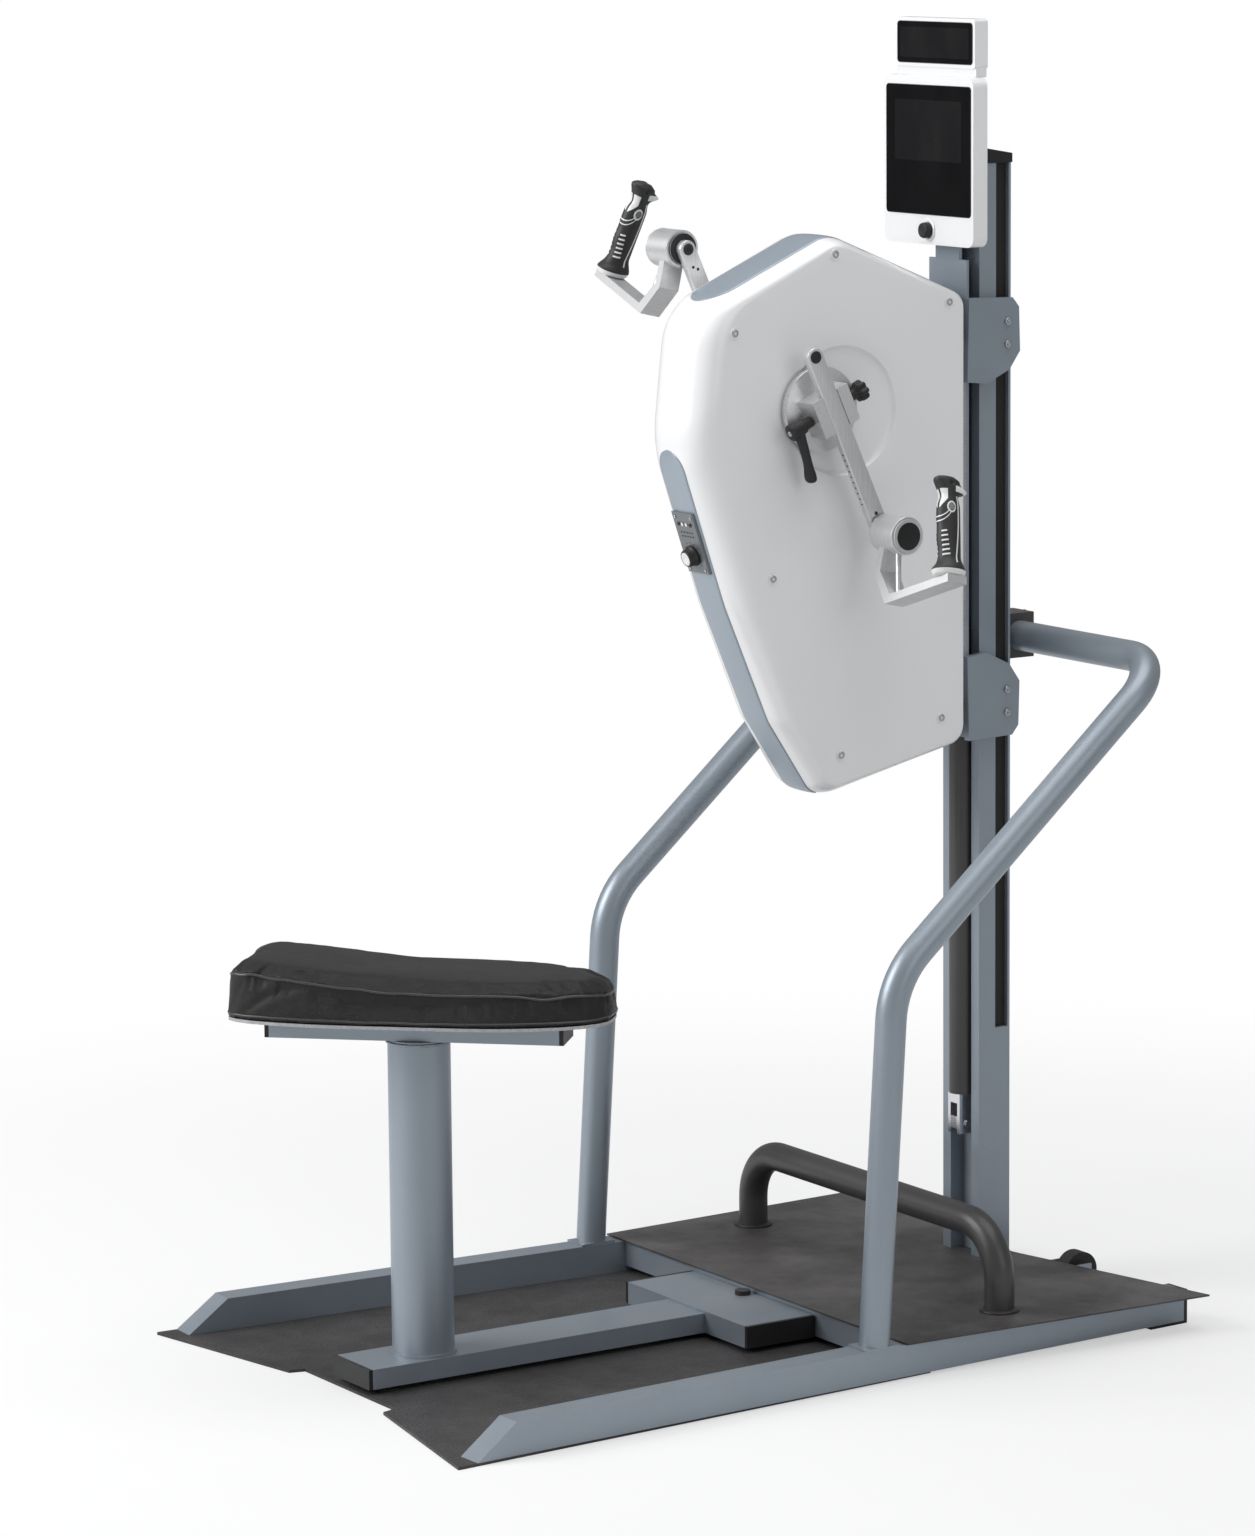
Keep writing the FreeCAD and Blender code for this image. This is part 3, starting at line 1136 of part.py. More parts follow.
def clamp_lever(label, mirror):
    """Hand lever on the clamp's bolt, which passes right through the block."""
    spot = ("clampX", "0")
    hub = rod(label + "Hub", "leverHub", ("-leverLow - leverHubLength", "-leverLow"), spot,
              "Y", local=True)
    collar = rod(label + "Collar", "leverCollar", ("-leverLow", "-blockHalf - clampGap"), spot,
                 "Y", local=True)
    bolt = rod(label + "Bolt", "clampBolt", ("-leverLow", "starLow + starNeck + starLength / 2"),
               spot, "Y", local=True)
    arm = box(label + "Arm", ("clampX - leverThickness / 2", "clampX + leverThickness / 2"),
              ("-leverLow - leverHubLength", "leverWidth - leverLow - leverHubLength"),
              ("-leverLength", "0"), local=True)
    lever = fuse(label + "Right" if mirror else label, hub, collar, bolt, arm)
    return crank_place(mirrored(label, lever) if mirror else lever)


def star_knob(label, mirror):
    """Star knob on the other end of the clamp's bolt, its rim cut by five hollows."""
    spot = ("clampX", "0")
    low = "starLow + starNeck"
    neck = rod(label + "Neck", "starDimple * 1.2", ("starLow", low), spot, "Y", local=True)
    head = rod(label + "Head", "starRadius", (low, low + " + starLength"), spot, "Y",
               local=True)
    bore = rod(label + "Bore", "clampBolt + clampGap", ("starLow - overrun",
                                                        low + " + starLength * 0.7"),
               spot, "Y", local=True)
    hollows = []
    for index in range(5):
        reach = "(starRadius + starDimple * 0.55)"
        centre = ("clampX + %s * cos(%d * 72 * 1deg)" % (reach, index),
                  "%s * sin(%d * 72 * 1deg)" % (reach, index))
        hollows.append(rod("%sHollow%d" % (label, index), "starDimple",
                           (low + " - overrun", low + " + starLength + overrun"), centre,
                           "Y", local=True))
    knob = cut(label + "Right" if mirror else label, fuse(label + "Blank", neck, head), bore,
               *hollows)
    return crank_place(mirrored(label, knob) if mirror else knob)


def handle_place(item, reach):
    """Hangs a piece on a handle's pivot at a distance along the crank, leaned back."""
    y = "crankY - (%s) * sin(crankAngle * 1deg)" % reach
    z = "crankZ + (%s) * cos(crankAngle * 1deg)" % reach
    place(item, "0", from_column(y), z, (1, 0, 0), "-stirrupLean")
    return item


def on_foot_plate(item):
    """Places a piece drawn on a level foot plate at the foot of the handle's arm."""
    place(item, "footX", "0", "-armDrop", (0, 1, 0), "-footAngle")
    return item


def along_foot(reach, depth):
    """Point of the foot plate, in the handle's frame, at a reach along it and a depth."""
    along, across = "cos(footAngle * 1deg)", "sin(footAngle * 1deg)"
    return ("footX + (%s) * %s + (%s) * %s" % (reach, along, depth, across),
            "(%s) * %s - armDrop - (%s) * %s" % (reach, across, depth, along))


def handle_strip(label):
    """Flat strip bent down from the barrel, outwards, and up along the foot plate."""
    near, far = "armX - armThickness / 2", "armX + armThickness / 2"
    knee = "-armKneeDrop"
    outline = [
        (near, "-swivelPin"), (near, knee + " - footThickness / 2"),
        along_foot("-armThickness", "footThickness"), along_foot("footReach", "footThickness"),
        along_foot("footReach", "0"), along_foot("0", "0"), (far, knee), (far, "-swivelPin"),
    ]
    return prism(label, "XZ_Plane", outline, "-armWidth / 2", "armWidth / 2", local=True)


def handle_body(label):
    """Swivel barrel with its washer and end cap, the bent strip, and the grip's pin."""
    spot = ("0", "0")
    barrel = rod(label + "Barrel", "swivelRadius", ("barrelLow", "barrelHigh"), spot, "X",
                 local=True)
    strip = handle_strip(label + "Strip")
    pin = on_foot_plate(rod(label + "GripPin", "gripPin", ("0", "gripLength * 0.8"),
                            ("gripReach", "0"), local=True))
    bore = rod(label + "SwivelBore", "swivelPin + swivelGap",
               ("barrelLow - overrun", "barrelHigh"), spot, "X", local=True)
    cap = rod(label + "Cap", "swivelCap", ("barrelHigh", "barrelHigh + swivelCapLength"),
              spot, "X", local=True)
    washer = pipe(label + "Washer", "washerRadius", "swivelPin + swivelGap",
                  ("washerLow", "barrelLow"), spot, "X", local=True)
    body = cut(label + "Body", fuse(label + "Blank", barrel, strip, pin), bore)
    return group(label + "Set", body, cap, washer)


def handle(label, reach, mirror):
    whole = handle_body(label)
    turned = mirrored(label, whole) if mirror else group(label, whole)
    return handle_place(turned, reach)


def grip(label, reach, mirror):
    """Round grip with a foot disc, a flared lip and a bore for its pin."""
    spot = ("gripReach", "0")
    low = "swivelGap"
    disc = rod(label + "Disc", "gripBaseRadius", (low, low + " + gripBase"), spot, local=True)
    stem = rod(label + "Stem", "gripRadius", (low, "gripLength"), spot, local=True)
    lip = rod(label + "Lip", "gripLip", ("gripLength - gripFlare", "gripLength"), spot,
              local=True)
    bore = rod(label + "Bore", "gripPin + gripGap", (low + " - overrun",
                                                     "gripLength * 0.8 + gripGap"), spot,
               local=True)
    shape = on_foot_plate(cut(label + "Body", fuse(label + "Blank", disc, stem, lip), bore))
    turned = mirrored(label, shape) if mirror else group(label, shape)
    return handle_place(turned, reach)


def lift_rod():
    """Rod and piston of the lift, and the block that ties it to the carriage plate."""
    spot = ("0", "barrelY")
    rod_body = rod("liftShaft", "rodRadius", ("rodBottomZ", "rodTopZ"), spot)
    piston = rod("liftPiston", "pistonRadius", ("rodBottomZ - pistonLength", "rodBottomZ"),
                 spot)
    block = box("liftBlock", ("-clevisHalf", "clevisHalf"), ("plateY", "barrelY + rodRadius"),
                ("rodTopZ - clevisHalf", "rodTopZ + clevisHalf"))
    return fuse("lift_rod", rod_body, piston, block)


def display_mount():
    """Plate above the carriage with the knuckle that the display tilts on."""
    plate = box("mountPlate", ("-mountHalf", "mountHalf"),
                ("plateY - mountThickness", "plateY"), ("carriageTopZ", "tiltZ + tiltRadius"))
    knuckle = rod("mountKnuckle", "tiltRadius", ("-tiltHalf / 3", "tiltHalf / 3"),
                  ("tiltY", "tiltZ"), "X")
    neck = box("mountNeck", ("-tiltHalf / 3", "tiltHalf / 3"), ("tiltY", "plateY - mountThickness"),
               ("tiltZ - tiltRadius", "tiltZ + tiltRadius"))
    pin = rod("tiltPin", "tiltRadius / 3", ("-tiltHalf", "tiltHalf"), ("tiltY", "tiltZ"), "X")
    return fuse("display_mount", plate, knuckle, neck, pin)


def rounded_case(half, low, high, front, depth, corner):
    """Flat box with rounded corners, seen from the front."""
    points = [Vector(-half, front, low), Vector(half, front, low), Vector(half, front, high),
              Vector(-half, front, high)]
    face = Part.Face(rounded_wire(points, [corner] * 4))
    return face.extrude(Vector(0, depth, 0))


def display_case():
    """Main display with the two tilt lugs behind it and the strap that holds the top unit."""
    case = rounded_case(size("displayHalf"), size("displayBottomZ"), size("displayTopZ"),
                        size("displayFrontY"), size("displayDepth"), size("displayCorner"))
    rear = size("displayFrontY") + size("displayDepth")
    lugs = []
    thick = size("tiltRadius")
    for side in (1, -1):
        inner = side * (size("tiltHalf") / 3 + size("tiltGap"))
        outer = side * (size("tiltHalf") - size("tiltGap"))
        low = min(inner, outer)
        ring = Part.makeCylinder(thick, abs(outer - inner),
                                 Vector(low, size("tiltY"), size("tiltZ")), Vector(1, 0, 0))
        arm = Part.makeBox(abs(outer - inner), size("tiltY") - rear, 2 * thick,
                           Vector(low, rear, size("tiltZ") - thick))
        hole = Part.makeCylinder(thick / 3 + size("tiltGap"), abs(outer - inner),
                                 Vector(low, size("tiltY"), size("tiltZ")), Vector(1, 0, 0))
        lugs.append(ring.fuse(arm).cut(hole))
    return feature("display_case", case.fuse(lugs).removeSplitter())


def top_case():
    """Small unit above the display, and the strap down its back."""
    case = rounded_case(size("topHalf"), size("topBottomZ"), size("topTopZ"),
                        size("topFrontY"), size("topDepth"), size("displayCorner") / 3)
    rear = size("displayFrontY") + size("displayDepth")
    half = size("mountHalf")
    low = size("tiltZ") + 3 * size("tiltRadius")
    strap = Part.makeBox(2 * half, size("mountThickness"), size("topBottomZ") - low,
                         Vector(-half, rear, low))
    return feature("top_case", case.fuse(strap).removeSplitter())


def display_glass():
    """Dark front panes of the two units."""
    inset, thick = size("glassInset"), size("glassThickness")
    main = rounded_case(size("displayHalf") - inset, size("dialZ") + 2 * size("dialRadius"),
                        size("glassTop"), size("displayFrontY") - thick, thick,
                        size("displayCorner") / 3)
    top = rounded_case(size("topHalf") - inset, size("topBottomZ") + inset,
                       size("topTopZ") - inset, size("topFrontY") - thick, thick,
                       size("displayCorner") / 4)
    return group("display_glass", feature("mainGlass", main), feature("topGlass", top))


def display_dial():
    return rod("display_dial", "dialRadius", ("displayFrontY - dialLength - swivelGap",
                                              "displayFrontY - swivelGap"),
               ("0", "dialZ"), "Y")


def handrail_clamp():
    return group("handrail_clamp", handrail_saddle(), handrail_strap())


SUB_PARTS = [
    floor_mat, base_rails, rail_end_caps, cross_members, platform_plate, footrest_tube,
    column_profile, column_cap, slot_strips, handrail_tube, handrail_flanges,
    handrail_clamp, lift_barrel, lift_clevis, wheel_brackets, seat_beam, seat_crossbar,
    seat_frame_caps, seat_frame_feet, seat_post, frame_knob, seat_tube, seat_tube_caps,
    seat_plate, seat_cushion, housing_trims, control_panel, control_knob, carriage_plate,
    carriage_brackets, guide_shoes, housing_screws, chassis_plates, shaft_bearings,
    magnet_brake, flywheel, drive_belt, crank_spindle, drive_pulley, crank_clamps,
    crank_bar_right, crank_bar_left, lift_rod, display_mount, display_case, top_case,
    display_glass, display_dial,
]


def build():
    items = [make() for make in SUB_PARTS]
    items += [transport_wheel("wheel_right", ""), transport_wheel("wheel_left", "-")]
    items += [housing_half("housing_right", 1), housing_half("housing_left", -1)]
    items += [clamp_lever("clamp_lever_right", False), clamp_lever("clamp_lever_left", True)]
    items += [star_knob("star_knob_right", False), star_knob("star_knob_left", True)]
    for make, name in ((handle, "handle"), (grip, "grip")):
        items.append(make(name + "_right", "-rightReach", False))
        items.append(make(name + "_left", "leftReach", True))
    doc.recompute()
    return items


def check(items):
    """Stops before anything is written if an object or a sub-part is broken."""
    for item in doc.Objects:
        if "Invalid" in item.State or "Error" in item.State:
            raise RuntimeError("broken object " + item.Label)
    for item in items:
        if item.Shape.isNull() or not item.Shape.isValid() or not item.Shape.Solids:
            raise RuntimeError("bad shape " + item.Label)


def write(items):
    os.makedirs("parts", exist_ok=True)
    for item in items:
        item.Shape.exportStep(os.path.join("parts", item.Label + ".step"))


parts = build()
check(parts)
write(parts)
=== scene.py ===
import json
import math

import bpy
import numpy as np
from mathutils import Matrix, Vector
from mathutils.bvhtree import BVHTree


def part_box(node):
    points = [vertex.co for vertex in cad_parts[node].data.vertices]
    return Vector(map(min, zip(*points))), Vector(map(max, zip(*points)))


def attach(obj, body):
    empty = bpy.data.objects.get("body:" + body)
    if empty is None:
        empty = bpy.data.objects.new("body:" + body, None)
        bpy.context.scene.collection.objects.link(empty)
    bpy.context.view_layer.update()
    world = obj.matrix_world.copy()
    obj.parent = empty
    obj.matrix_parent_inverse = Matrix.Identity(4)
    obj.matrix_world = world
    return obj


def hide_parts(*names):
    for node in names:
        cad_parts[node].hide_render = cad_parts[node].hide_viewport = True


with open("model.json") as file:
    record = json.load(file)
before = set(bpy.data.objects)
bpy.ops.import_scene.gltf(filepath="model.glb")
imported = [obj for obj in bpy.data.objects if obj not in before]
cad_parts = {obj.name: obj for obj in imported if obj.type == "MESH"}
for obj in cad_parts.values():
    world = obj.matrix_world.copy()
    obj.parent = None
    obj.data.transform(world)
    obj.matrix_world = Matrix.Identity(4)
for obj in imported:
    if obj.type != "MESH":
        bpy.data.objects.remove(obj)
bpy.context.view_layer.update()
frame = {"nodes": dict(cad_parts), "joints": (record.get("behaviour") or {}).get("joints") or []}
JOINTS = {joint["name"]: joint for joint in frame["joints"]}
X_AXIS, Y_AXIS, Z_AXIS = np.eye(3)
SIDES = (("right", 1), ("left", -1))


def unit(vector):
    """The direction of a vector, with length 1."""
    return np.asarray(vector, float) / np.linalg.norm(vector)


def joint_spot(name):
    """Place and direction of a joint's axis, as two arrays."""
    joint = JOINTS[name]
    return np.array(joint.get("pos_m", (0, 0, 0)), float), unit(joint["axis"])


def facing(axis, towards):
    """Rows are three square directions: one near a wished direction, one beside it, the axis."""
    axis = unit(axis)
    first = unit(np.asarray(towards, float) - np.dot(towards, axis) * axis)
    return np.array([first, np.cross(axis, first), axis])


# Meshes

def make_piece(name, points, faces, body, material, smooth=True):
    """Mesh object from arrays of points and of corner numbers, on its body and with its finish."""
    mesh = bpy.data.meshes.new(name)
    mesh.from_pydata(np.asarray(points, float).tolist(), [], [list(face) for face in faces])
    mesh.validate()
    mesh.update()
    mesh.polygons.foreach_set("use_smooth", np.full(len(mesh.polygons), smooth))
    piece = bpy.data.objects.new(name, mesh)
    bpy.context.scene.collection.objects.link(piece)
    piece.data.materials.append(material)
    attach(piece, body)
    return piece


def grid_faces(rows, columns, closed_rows=False, start=0):
    """Corner numbers of the quads of a stack of rings, wrapped round where it is closed."""
    down = np.arange(rows if closed_rows else rows - 1)
    row, column = np.meshgrid(down, np.arange(columns), indexing="ij")
    below, beside = (row + 1) % rows, (column + 1) % columns
    quads = [row * columns + column, row * columns + beside, below * columns + beside,
             below * columns + column]
    return (np.stack(quads, -1).reshape(-1, 4) + start).tolist()


def capped_faces(rows, columns, start=0):
    """Quads of a stack of rings, with a many-sided face closing each end."""
    faces = grid_faces(rows, columns, start=start)
    low = list(range(start, start + columns))
    high = list(range(start + (rows - 1) * columns, start + rows * columns))
    return faces + [low[::-1], high]


def ring_piece(name, rings, body, material, smooth=True):
    """Closed skin over a stack of rings."""
    rings = np.asarray(rings, float)
    return make_piece(name, rings.reshape(-1, 3), capped_faces(*rings.shape[:2]), body,
                      material, smooth)


def mesh_points(mesh):
    """Places of a mesh's vertices as an array."""
    points = np.zeros(len(mesh.vertices) * 3)
    mesh.vertices.foreach_get("co", points)
    return points.reshape(-1, 3)


def mesh_tree(mesh):
    """Search tree over a mesh's faces."""
    return BVHTree.FromPolygons([vertex.co for vertex in mesh.vertices],
                                [polygon.vertices for polygon in mesh.polygons])


def fix_outward(piece):
    """Turns a closed mesh's faces outwards where its volume comes out negative."""
    mesh = piece.data
    mesh.calc_loop_triangles()
    corners = np.zeros(len(mesh.loop_triangles) * 3, int)
    mesh.loop_triangles.foreach_get("vertices", corners)
    first, second, third = mesh_points(mesh)[corners.reshape(-1, 3)].transpose(1, 0, 2)
    if np.einsum("ij,ij->i", first, np.cross(second, third)).sum() < 0:
        mesh.flip_normals()


def turned_piece(name, profile, centre, directions, body, slot, material, count=64, shape=None):
    """Turned form with its ends closed: each pair of the profile is a radius and a height over
    the centre along the third direction. shape gives a factor on the radius for the angles."""
    angles = np.linspace(0, 2 * np.pi, count, endpoint=False)
    radii, heights = np.asarray(profile, float).T[..., None] * np.ones(count)
    if shape is not None:
        radii = radii * shape(angles)
    rings = np.stack([radii * np.cos(angles), radii * np.sin(angles), heights], -1)
    return ring_piece(name, rings @ directions + np.asarray(centre, float), body, material)


def rounded_profile(radius, low, high, edge, steps=5):
    """Radius and height pairs of a short rod whose rims are quarter circles."""
    turn = np.linspace(0, np.pi / 2, steps)
    inner = radius - edge
    foot = np.stack([inner + edge * np.sin(turn), low + edge - edge * np.cos(turn)], -1)
    head = np.stack([inner + edge * np.cos(turn), high - edge + edge * np.sin(turn)], -1)
    base = [[inner * 0.02, low], [inner * 0.5, low]]
    tip = [[inner * 0.5, high], [inner * 0.02, high]]
    return np.array(base + foot.tolist() + head.tolist() + tip)


def swept_rings(path, radius, closed, count=12, up=Z_AXIS):
    """Circles carried along a path: each lies square to the path's local direction."""
    path = np.asarray(path, float)
    if closed:
        along = np.roll(path, -1, 0) - np.roll(path, 1, 0)
    else:
        along = np.gradient(path, axis=0)
    along = along / np.linalg.norm(along, axis=1, keepdims=True)
    side = np.cross(along, up)
    side = side / np.linalg.norm(side, axis=1, keepdims=True)
    top = np.cross(side, along)
    angles = np.linspace(0, 2 * np.pi, count, endpoint=False)
    size = np.broadcast_to(np.asarray(radius, float).reshape(-1, 1), (len(path), 1))[:, :, None]
    ring = (side[:, None] * np.cos(angles)[None, :, None]
            + top[:, None] * np.sin(angles)[None, :, None])
    return path[:, None] + ring * size


def swept_piece(name, path, radius, closed, body, material, count=12, up=Z_AXIS):
    """Cord or bead along a path, closed to a loop or with its ends closed."""
    rings = swept_rings(path, radius, closed, count, up)
    rows = len(rings)
    faces = grid_faces(rows, count, closed_rows=True) if closed else capped_faces(rows, count)
    faces = [face[::-1] for face in faces]
    return make_piece(name, rings.reshape(-1, 3), faces, body, material)


def circle_path(centre, axis, radius, count):
    """Points round a circle."""
    spin = facing(axis, X_AXIS if abs(unit(axis)[0]) < 0.9 else Y_AXIS)
    angles = np.linspace(0, 2 * np.pi, count, endpoint=False)
    flat = np.stack([radius * np.cos(angles), radius * np.sin(angles), 0 * angles], -1)
    return flat @ spin + np.asarray(centre, float)


def slab_piece(name, corners, normal, thickness, body, material, bevel=0.0):
    """Flat slab: an outline drawn out along a normal, with a bevel on its rims."""
    outline = np.asarray(corners, float)
    lift = unit(normal) * thickness
    points = np.concatenate([outline, outline + lift])
    count = len(outline)
    piece = make_piece(name, points, capped_faces(2, count), body, material, smooth=False)
    if bevel:
        rims = piece.modifiers.new("rims", "BEVEL")
        rims.width, rims.segments, rims.limit_method = bevel, 2, "ANGLE"
    return piece


def rounded_outline(half, low, high, radius, y, steps=6):
    """Corners of an upright rounded rectangle at one depth, anticlockwise seen from the rider."""
    turn = np.linspace(0, np.pi / 2, steps)
    arcs = []
    for quarter, (side, rise) in enumerate(((1, 1), (-1, 1), (-1, -1), (1, -1))):
        angle = turn + quarter * np.pi / 2
        x = side * (half - radius) + radius * np.cos(angle)
        z = (high if rise > 0 else low) - rise * radius + radius * np.sin(angle)
        arcs.append(np.stack([x, np.full(steps, y), z], -1))
    return np.concatenate(arcs)[::-1]


def marks(name, centres, along, across, normal, length, width, height, body, slot, material):
    """Many small flat bars: one per centre, with the same three directions."""
    signs = np.array([[a, b, c] for c in (0, 1) for a, b in ((-1, -1), (1, -1), (1, 1), (-1, 1))])
    corner = (signs[:, :1] * along * length / 2 + signs[:, 1:2] * across * width / 2
              + signs[:, 2:] * normal * height)
    points = (np.asarray(centres, float)[:, None] + corner[None]).reshape(-1, 3)
    faces = []
    for index in range(len(centres)):
        faces += capped_faces(2, 4, start=8 * index)
    return make_piece(name, points, faces, body, material, smooth=False)


# Node groups

def add(tree, kind, **values):
    """New node. Each value goes to the input or the setting of its name; a socket is linked."""
    node = tree.nodes.new(kind)
    for name, value in values.items():
        title = name.replace("_", " ")
        if title not in node.inputs:
            setattr(node, name, value)
        elif hasattr(value, "is_linked"):
            tree.links.new(value, node.inputs[title])
        else:
            node.inputs[title].default_value = value
    return node


def new_group(name, values, outputs):
    """Node group that takes a vector and named numbers, with the outputs of its input node.
    The output Relief is a direction, the others are numbers."""
    tree = bpy.data.node_groups.new(name, "ShaderNodeTree")
    tree.interface.new_socket("Vector", in_out="INPUT", socket_type="NodeSocketVector")
    for title, value in values.items():
        socket = tree.interface.new_socket(title, in_out="INPUT", socket_type="NodeSocketFloat")
        socket.default_value = value
    for title in outputs:
        kind = "NodeSocketVector" if title == "Relief" else "NodeSocketFloat"
        tree.interface.new_socket(title, in_out="OUTPUT", socket_type=kind)
    return tree, tree.nodes.new("NodeGroupInput").outputs


def end_group(tree, **values):
    """Links sockets to the group's outputs of the same names."""
    leave = tree.nodes.new("NodeGroupOutput")
    for title, value in values.items():
        tree.links.new(value, leave.inputs[title])
    return tree


def noise_node(tree, vector, scale, detail=2.0, roughness=0.5, output="Fac"):
    """One output of a noise texture."""
    return add(tree, "ShaderNodeTexNoise", Vector=vector, Scale=scale, Detail=detail,
               Roughness=roughness).outputs[output]


def cell_distance(tree, entry, feature):
    """Distance in a cell texture, which takes the group's vector and scale."""
    return add(tree, "ShaderNodeTexVoronoi", feature=feature, Vector=entry["Vector"],
               Scale=entry["Scale"]).outputs["Distance"]


def bump_node(tree, height, distance):
    """Surface direction with a height as its relief, the height's unit given by a distance."""
    return add(tree, "ShaderNodeBump", Strength=1.0, Distance=distance,
               Height=height).outputs["Normal"]


def ramp_node(tree, value, low, high):
    """Straight rise from 0 to 1 between two values of its input, held outside them."""
    return add(tree, "ShaderNodeMapRange", clamp=True, From_Min=low, From_Max=high,
               Value=value).outputs["Result"]


def math_node(tree, operation, first, second=None):
    """Result of one sum; each side is a number or a socket."""
    node = add(tree, "ShaderNodeMath", operation=operation)
    for socket, value in zip(node.inputs, (first, second)):
        if isinstance(value, (int, float)):
            socket.default_value = value
        elif value is not None:
            tree.links.new(value, socket)
    return node.outputs[0]


def product(tree, first, *others):
    """Values multiplied with each other."""
    for other in others:
        first = math_node(tree, "MULTIPLY", first, other)
    return first


def build_grain():
    """Fine grain: one noise for the relief, a broad one that mottles colour and gloss."""
    tree, entry = new_group("fine_grain", {"Scale": 900.0, "Depth": 0.00005},
                            ("Relief", "Mottle"))
    fine = noise_node(tree, entry["Vector"], entry["Scale"], 3.0)
    return end_group(tree, Relief=bump_node(tree, fine, entry["Depth"]),
                     Mottle=noise_node(tree, entry["Vector"], 9.0, 4.0, 0.6))


def build_leather():
    """Leather grain: cell edges as creases, broken by fine noise."""
    tree, entry = new_group("leather_grain", {"Scale": 420.0, "Depth": 0.00025},
                            ("Relief", "Crease"))
    crease = ramp_node(tree, cell_distance(tree, entry, "DISTANCE_TO_EDGE"), 0.0, 0.12)
    fine = noise_node(tree, entry["Vector"], 700.0)
    height = math_node(tree, "ADD", crease, product(tree, fine, 0.5))
    return end_group(tree, Relief=bump_node(tree, height, entry["Depth"]), Crease=crease)


def build_pebble():
    """Raised pebbles of moulded rubber sheet, with worn patches."""
    tree, entry = new_group("pebble", {"Scale": 260.0, "Depth": 0.0006},
                            ("Relief", "Top", "Wear"))
    slope = ramp_node(tree, cell_distance(tree, entry, "SMOOTH_F1"), 0.1, 0.6)
    top = math_node(tree, "SUBTRACT", 1.0, slope)
    broad = noise_node(tree, entry["Vector"], 5.0, 5.0, 0.62)
    return end_group(tree, Relief=bump_node(tree, top, entry["Depth"]), Top=top,
                     Wear=ramp_node(tree, broad, 0.42, 0.66))


def build_brushing():
    """Brushed lines: noise drawn out along one direction by the vector's own scaling."""
    tree, entry = new_group("brushing", {"Depth": 0.00003}, ("Relief", "Streak"))
    lines = noise_node(tree, entry["Vector"], 1.0, 4.0, 0.7)
    return end_group(tree, Relief=bump_node(tree, lines, entry["Depth"]), Streak=lines)


def build_dust():
    """Light dust on faces that look up, thinned by noise."""
    tree, entry = new_group("dust", {"Amount": 0.3}, ("Mask",))
    shape = add(tree, "ShaderNodeNewGeometry")
    split = add(tree, "ShaderNodeSeparateXYZ", Vector=shape.outputs["Normal"])
    upward = ramp_node(tree, split.outputs["Z"], 0.35, 1.0)
    thick = ramp_node(tree, noise_node(tree, entry["Vector"], 14.0, 6.0, 0.65), 0.35, 0.75)
    return end_group(tree, Mask=product(tree, upward, thick, entry["Amount"]))


def build_scuffs():
    """Fine scuffs: the thin middle bands of a warped noise, kept to a few patches."""
    tree, entry = new_group("scuffs", {"Amount": 0.3}, ("Mask",))
    warp = noise_node(tree, entry["Vector"], 22.0, output="Color")
    bands = noise_node(tree, warp, 16.0, 3.0)
    centred = math_node(tree, "ABSOLUTE", math_node(tree, "SUBTRACT", bands, 0.5))
    line = math_node(tree, "SUBTRACT", 1.0, ramp_node(tree, centred, 0.0, 0.012))
    place = ramp_node(tree, noise_node(tree, entry["Vector"], 6.0, 3.0), 0.5, 0.7)
    return end_group(tree, Mask=product(tree, line, place, entry["Amount"]))


GROUPS = {"grain": build_grain(), "leather": build_leather(), "pebble": build_pebble(),
          "brushing": build_brushing(), "dust": build_dust(), "scuffs": build_scuffs()}


# Materials

def use_group(tree, name, vector, **values):
    """Outputs of a shared node group in a material."""
    return add(tree, "ShaderNodeGroup", node_tree=GROUPS[name], Vector=vector,
               **values).outputs


def start_material(name, colour, roughness, metallic=0.0, **values):
    """Material with one shader, whose constants stand on its own sockets."""
    material = bpy.data.materials.new(name)
    material.use_nodes = True
    tree = material.node_tree
    shader = tree.nodes["Principled BSDF"]
    shader.inputs["Base Color"].default_value = (*colour, 1)
    shader.inputs["Roughness"].default_value = roughness
    shader.inputs["Metallic"].default_value = metallic
    for title, value in values.items():
        shader.inputs[title.replace("_", " ")].default_value = value
    material.diffuse_color = (*colour, 1)
    return material, tree, shader


def end_material(tree, shader, colour, gloss, relief=None):
    """Links a colour, a roughness and, where it has one, a relief to the shader."""
    for title, socket in (("Base Color", colour), ("Roughness", gloss), ("Normal", relief)):
        if socket:
            tree.links.new(socket, shader.inputs[title])


def object_vector(tree, scale=(1, 1, 1), turn=(0, 0, 0)):
    """Place on the object, scaled and turned where that is asked for."""
    spot = add(tree, "ShaderNodeTexCoord").outputs["Object"]
    if tuple(scale) == (1, 1, 1) and tuple(turn) == (0, 0, 0):
        return spot
    return add(tree, "ShaderNodeMapping", Scale=scale, Rotation=turn,
               Vector=spot).outputs["Vector"]


def blend_colours(tree, mask, first, second):
    """Colour that goes from one to another with a mask; each is a colour or a socket."""
    node = tree.nodes.new("ShaderNodeMix")
    node.data_type = "RGBA"
    tree.links.new(mask, node.inputs["Factor"])
    for socket, value in ((node.inputs["A"], first), (node.inputs["B"], second)):
        if hasattr(value, "is_linked"):
            tree.links.new(value, socket)
        else:
            socket.default_value = (*value, 1)
    return node.outputs["Result"]


def blend_values(tree, mask, first, second):
    """Number that goes from one to another with a mask."""
    return add(tree, "ShaderNodeMapRange", clamp=True, To_Min=first, To_Max=second,
               Value=mask).outputs["Result"]


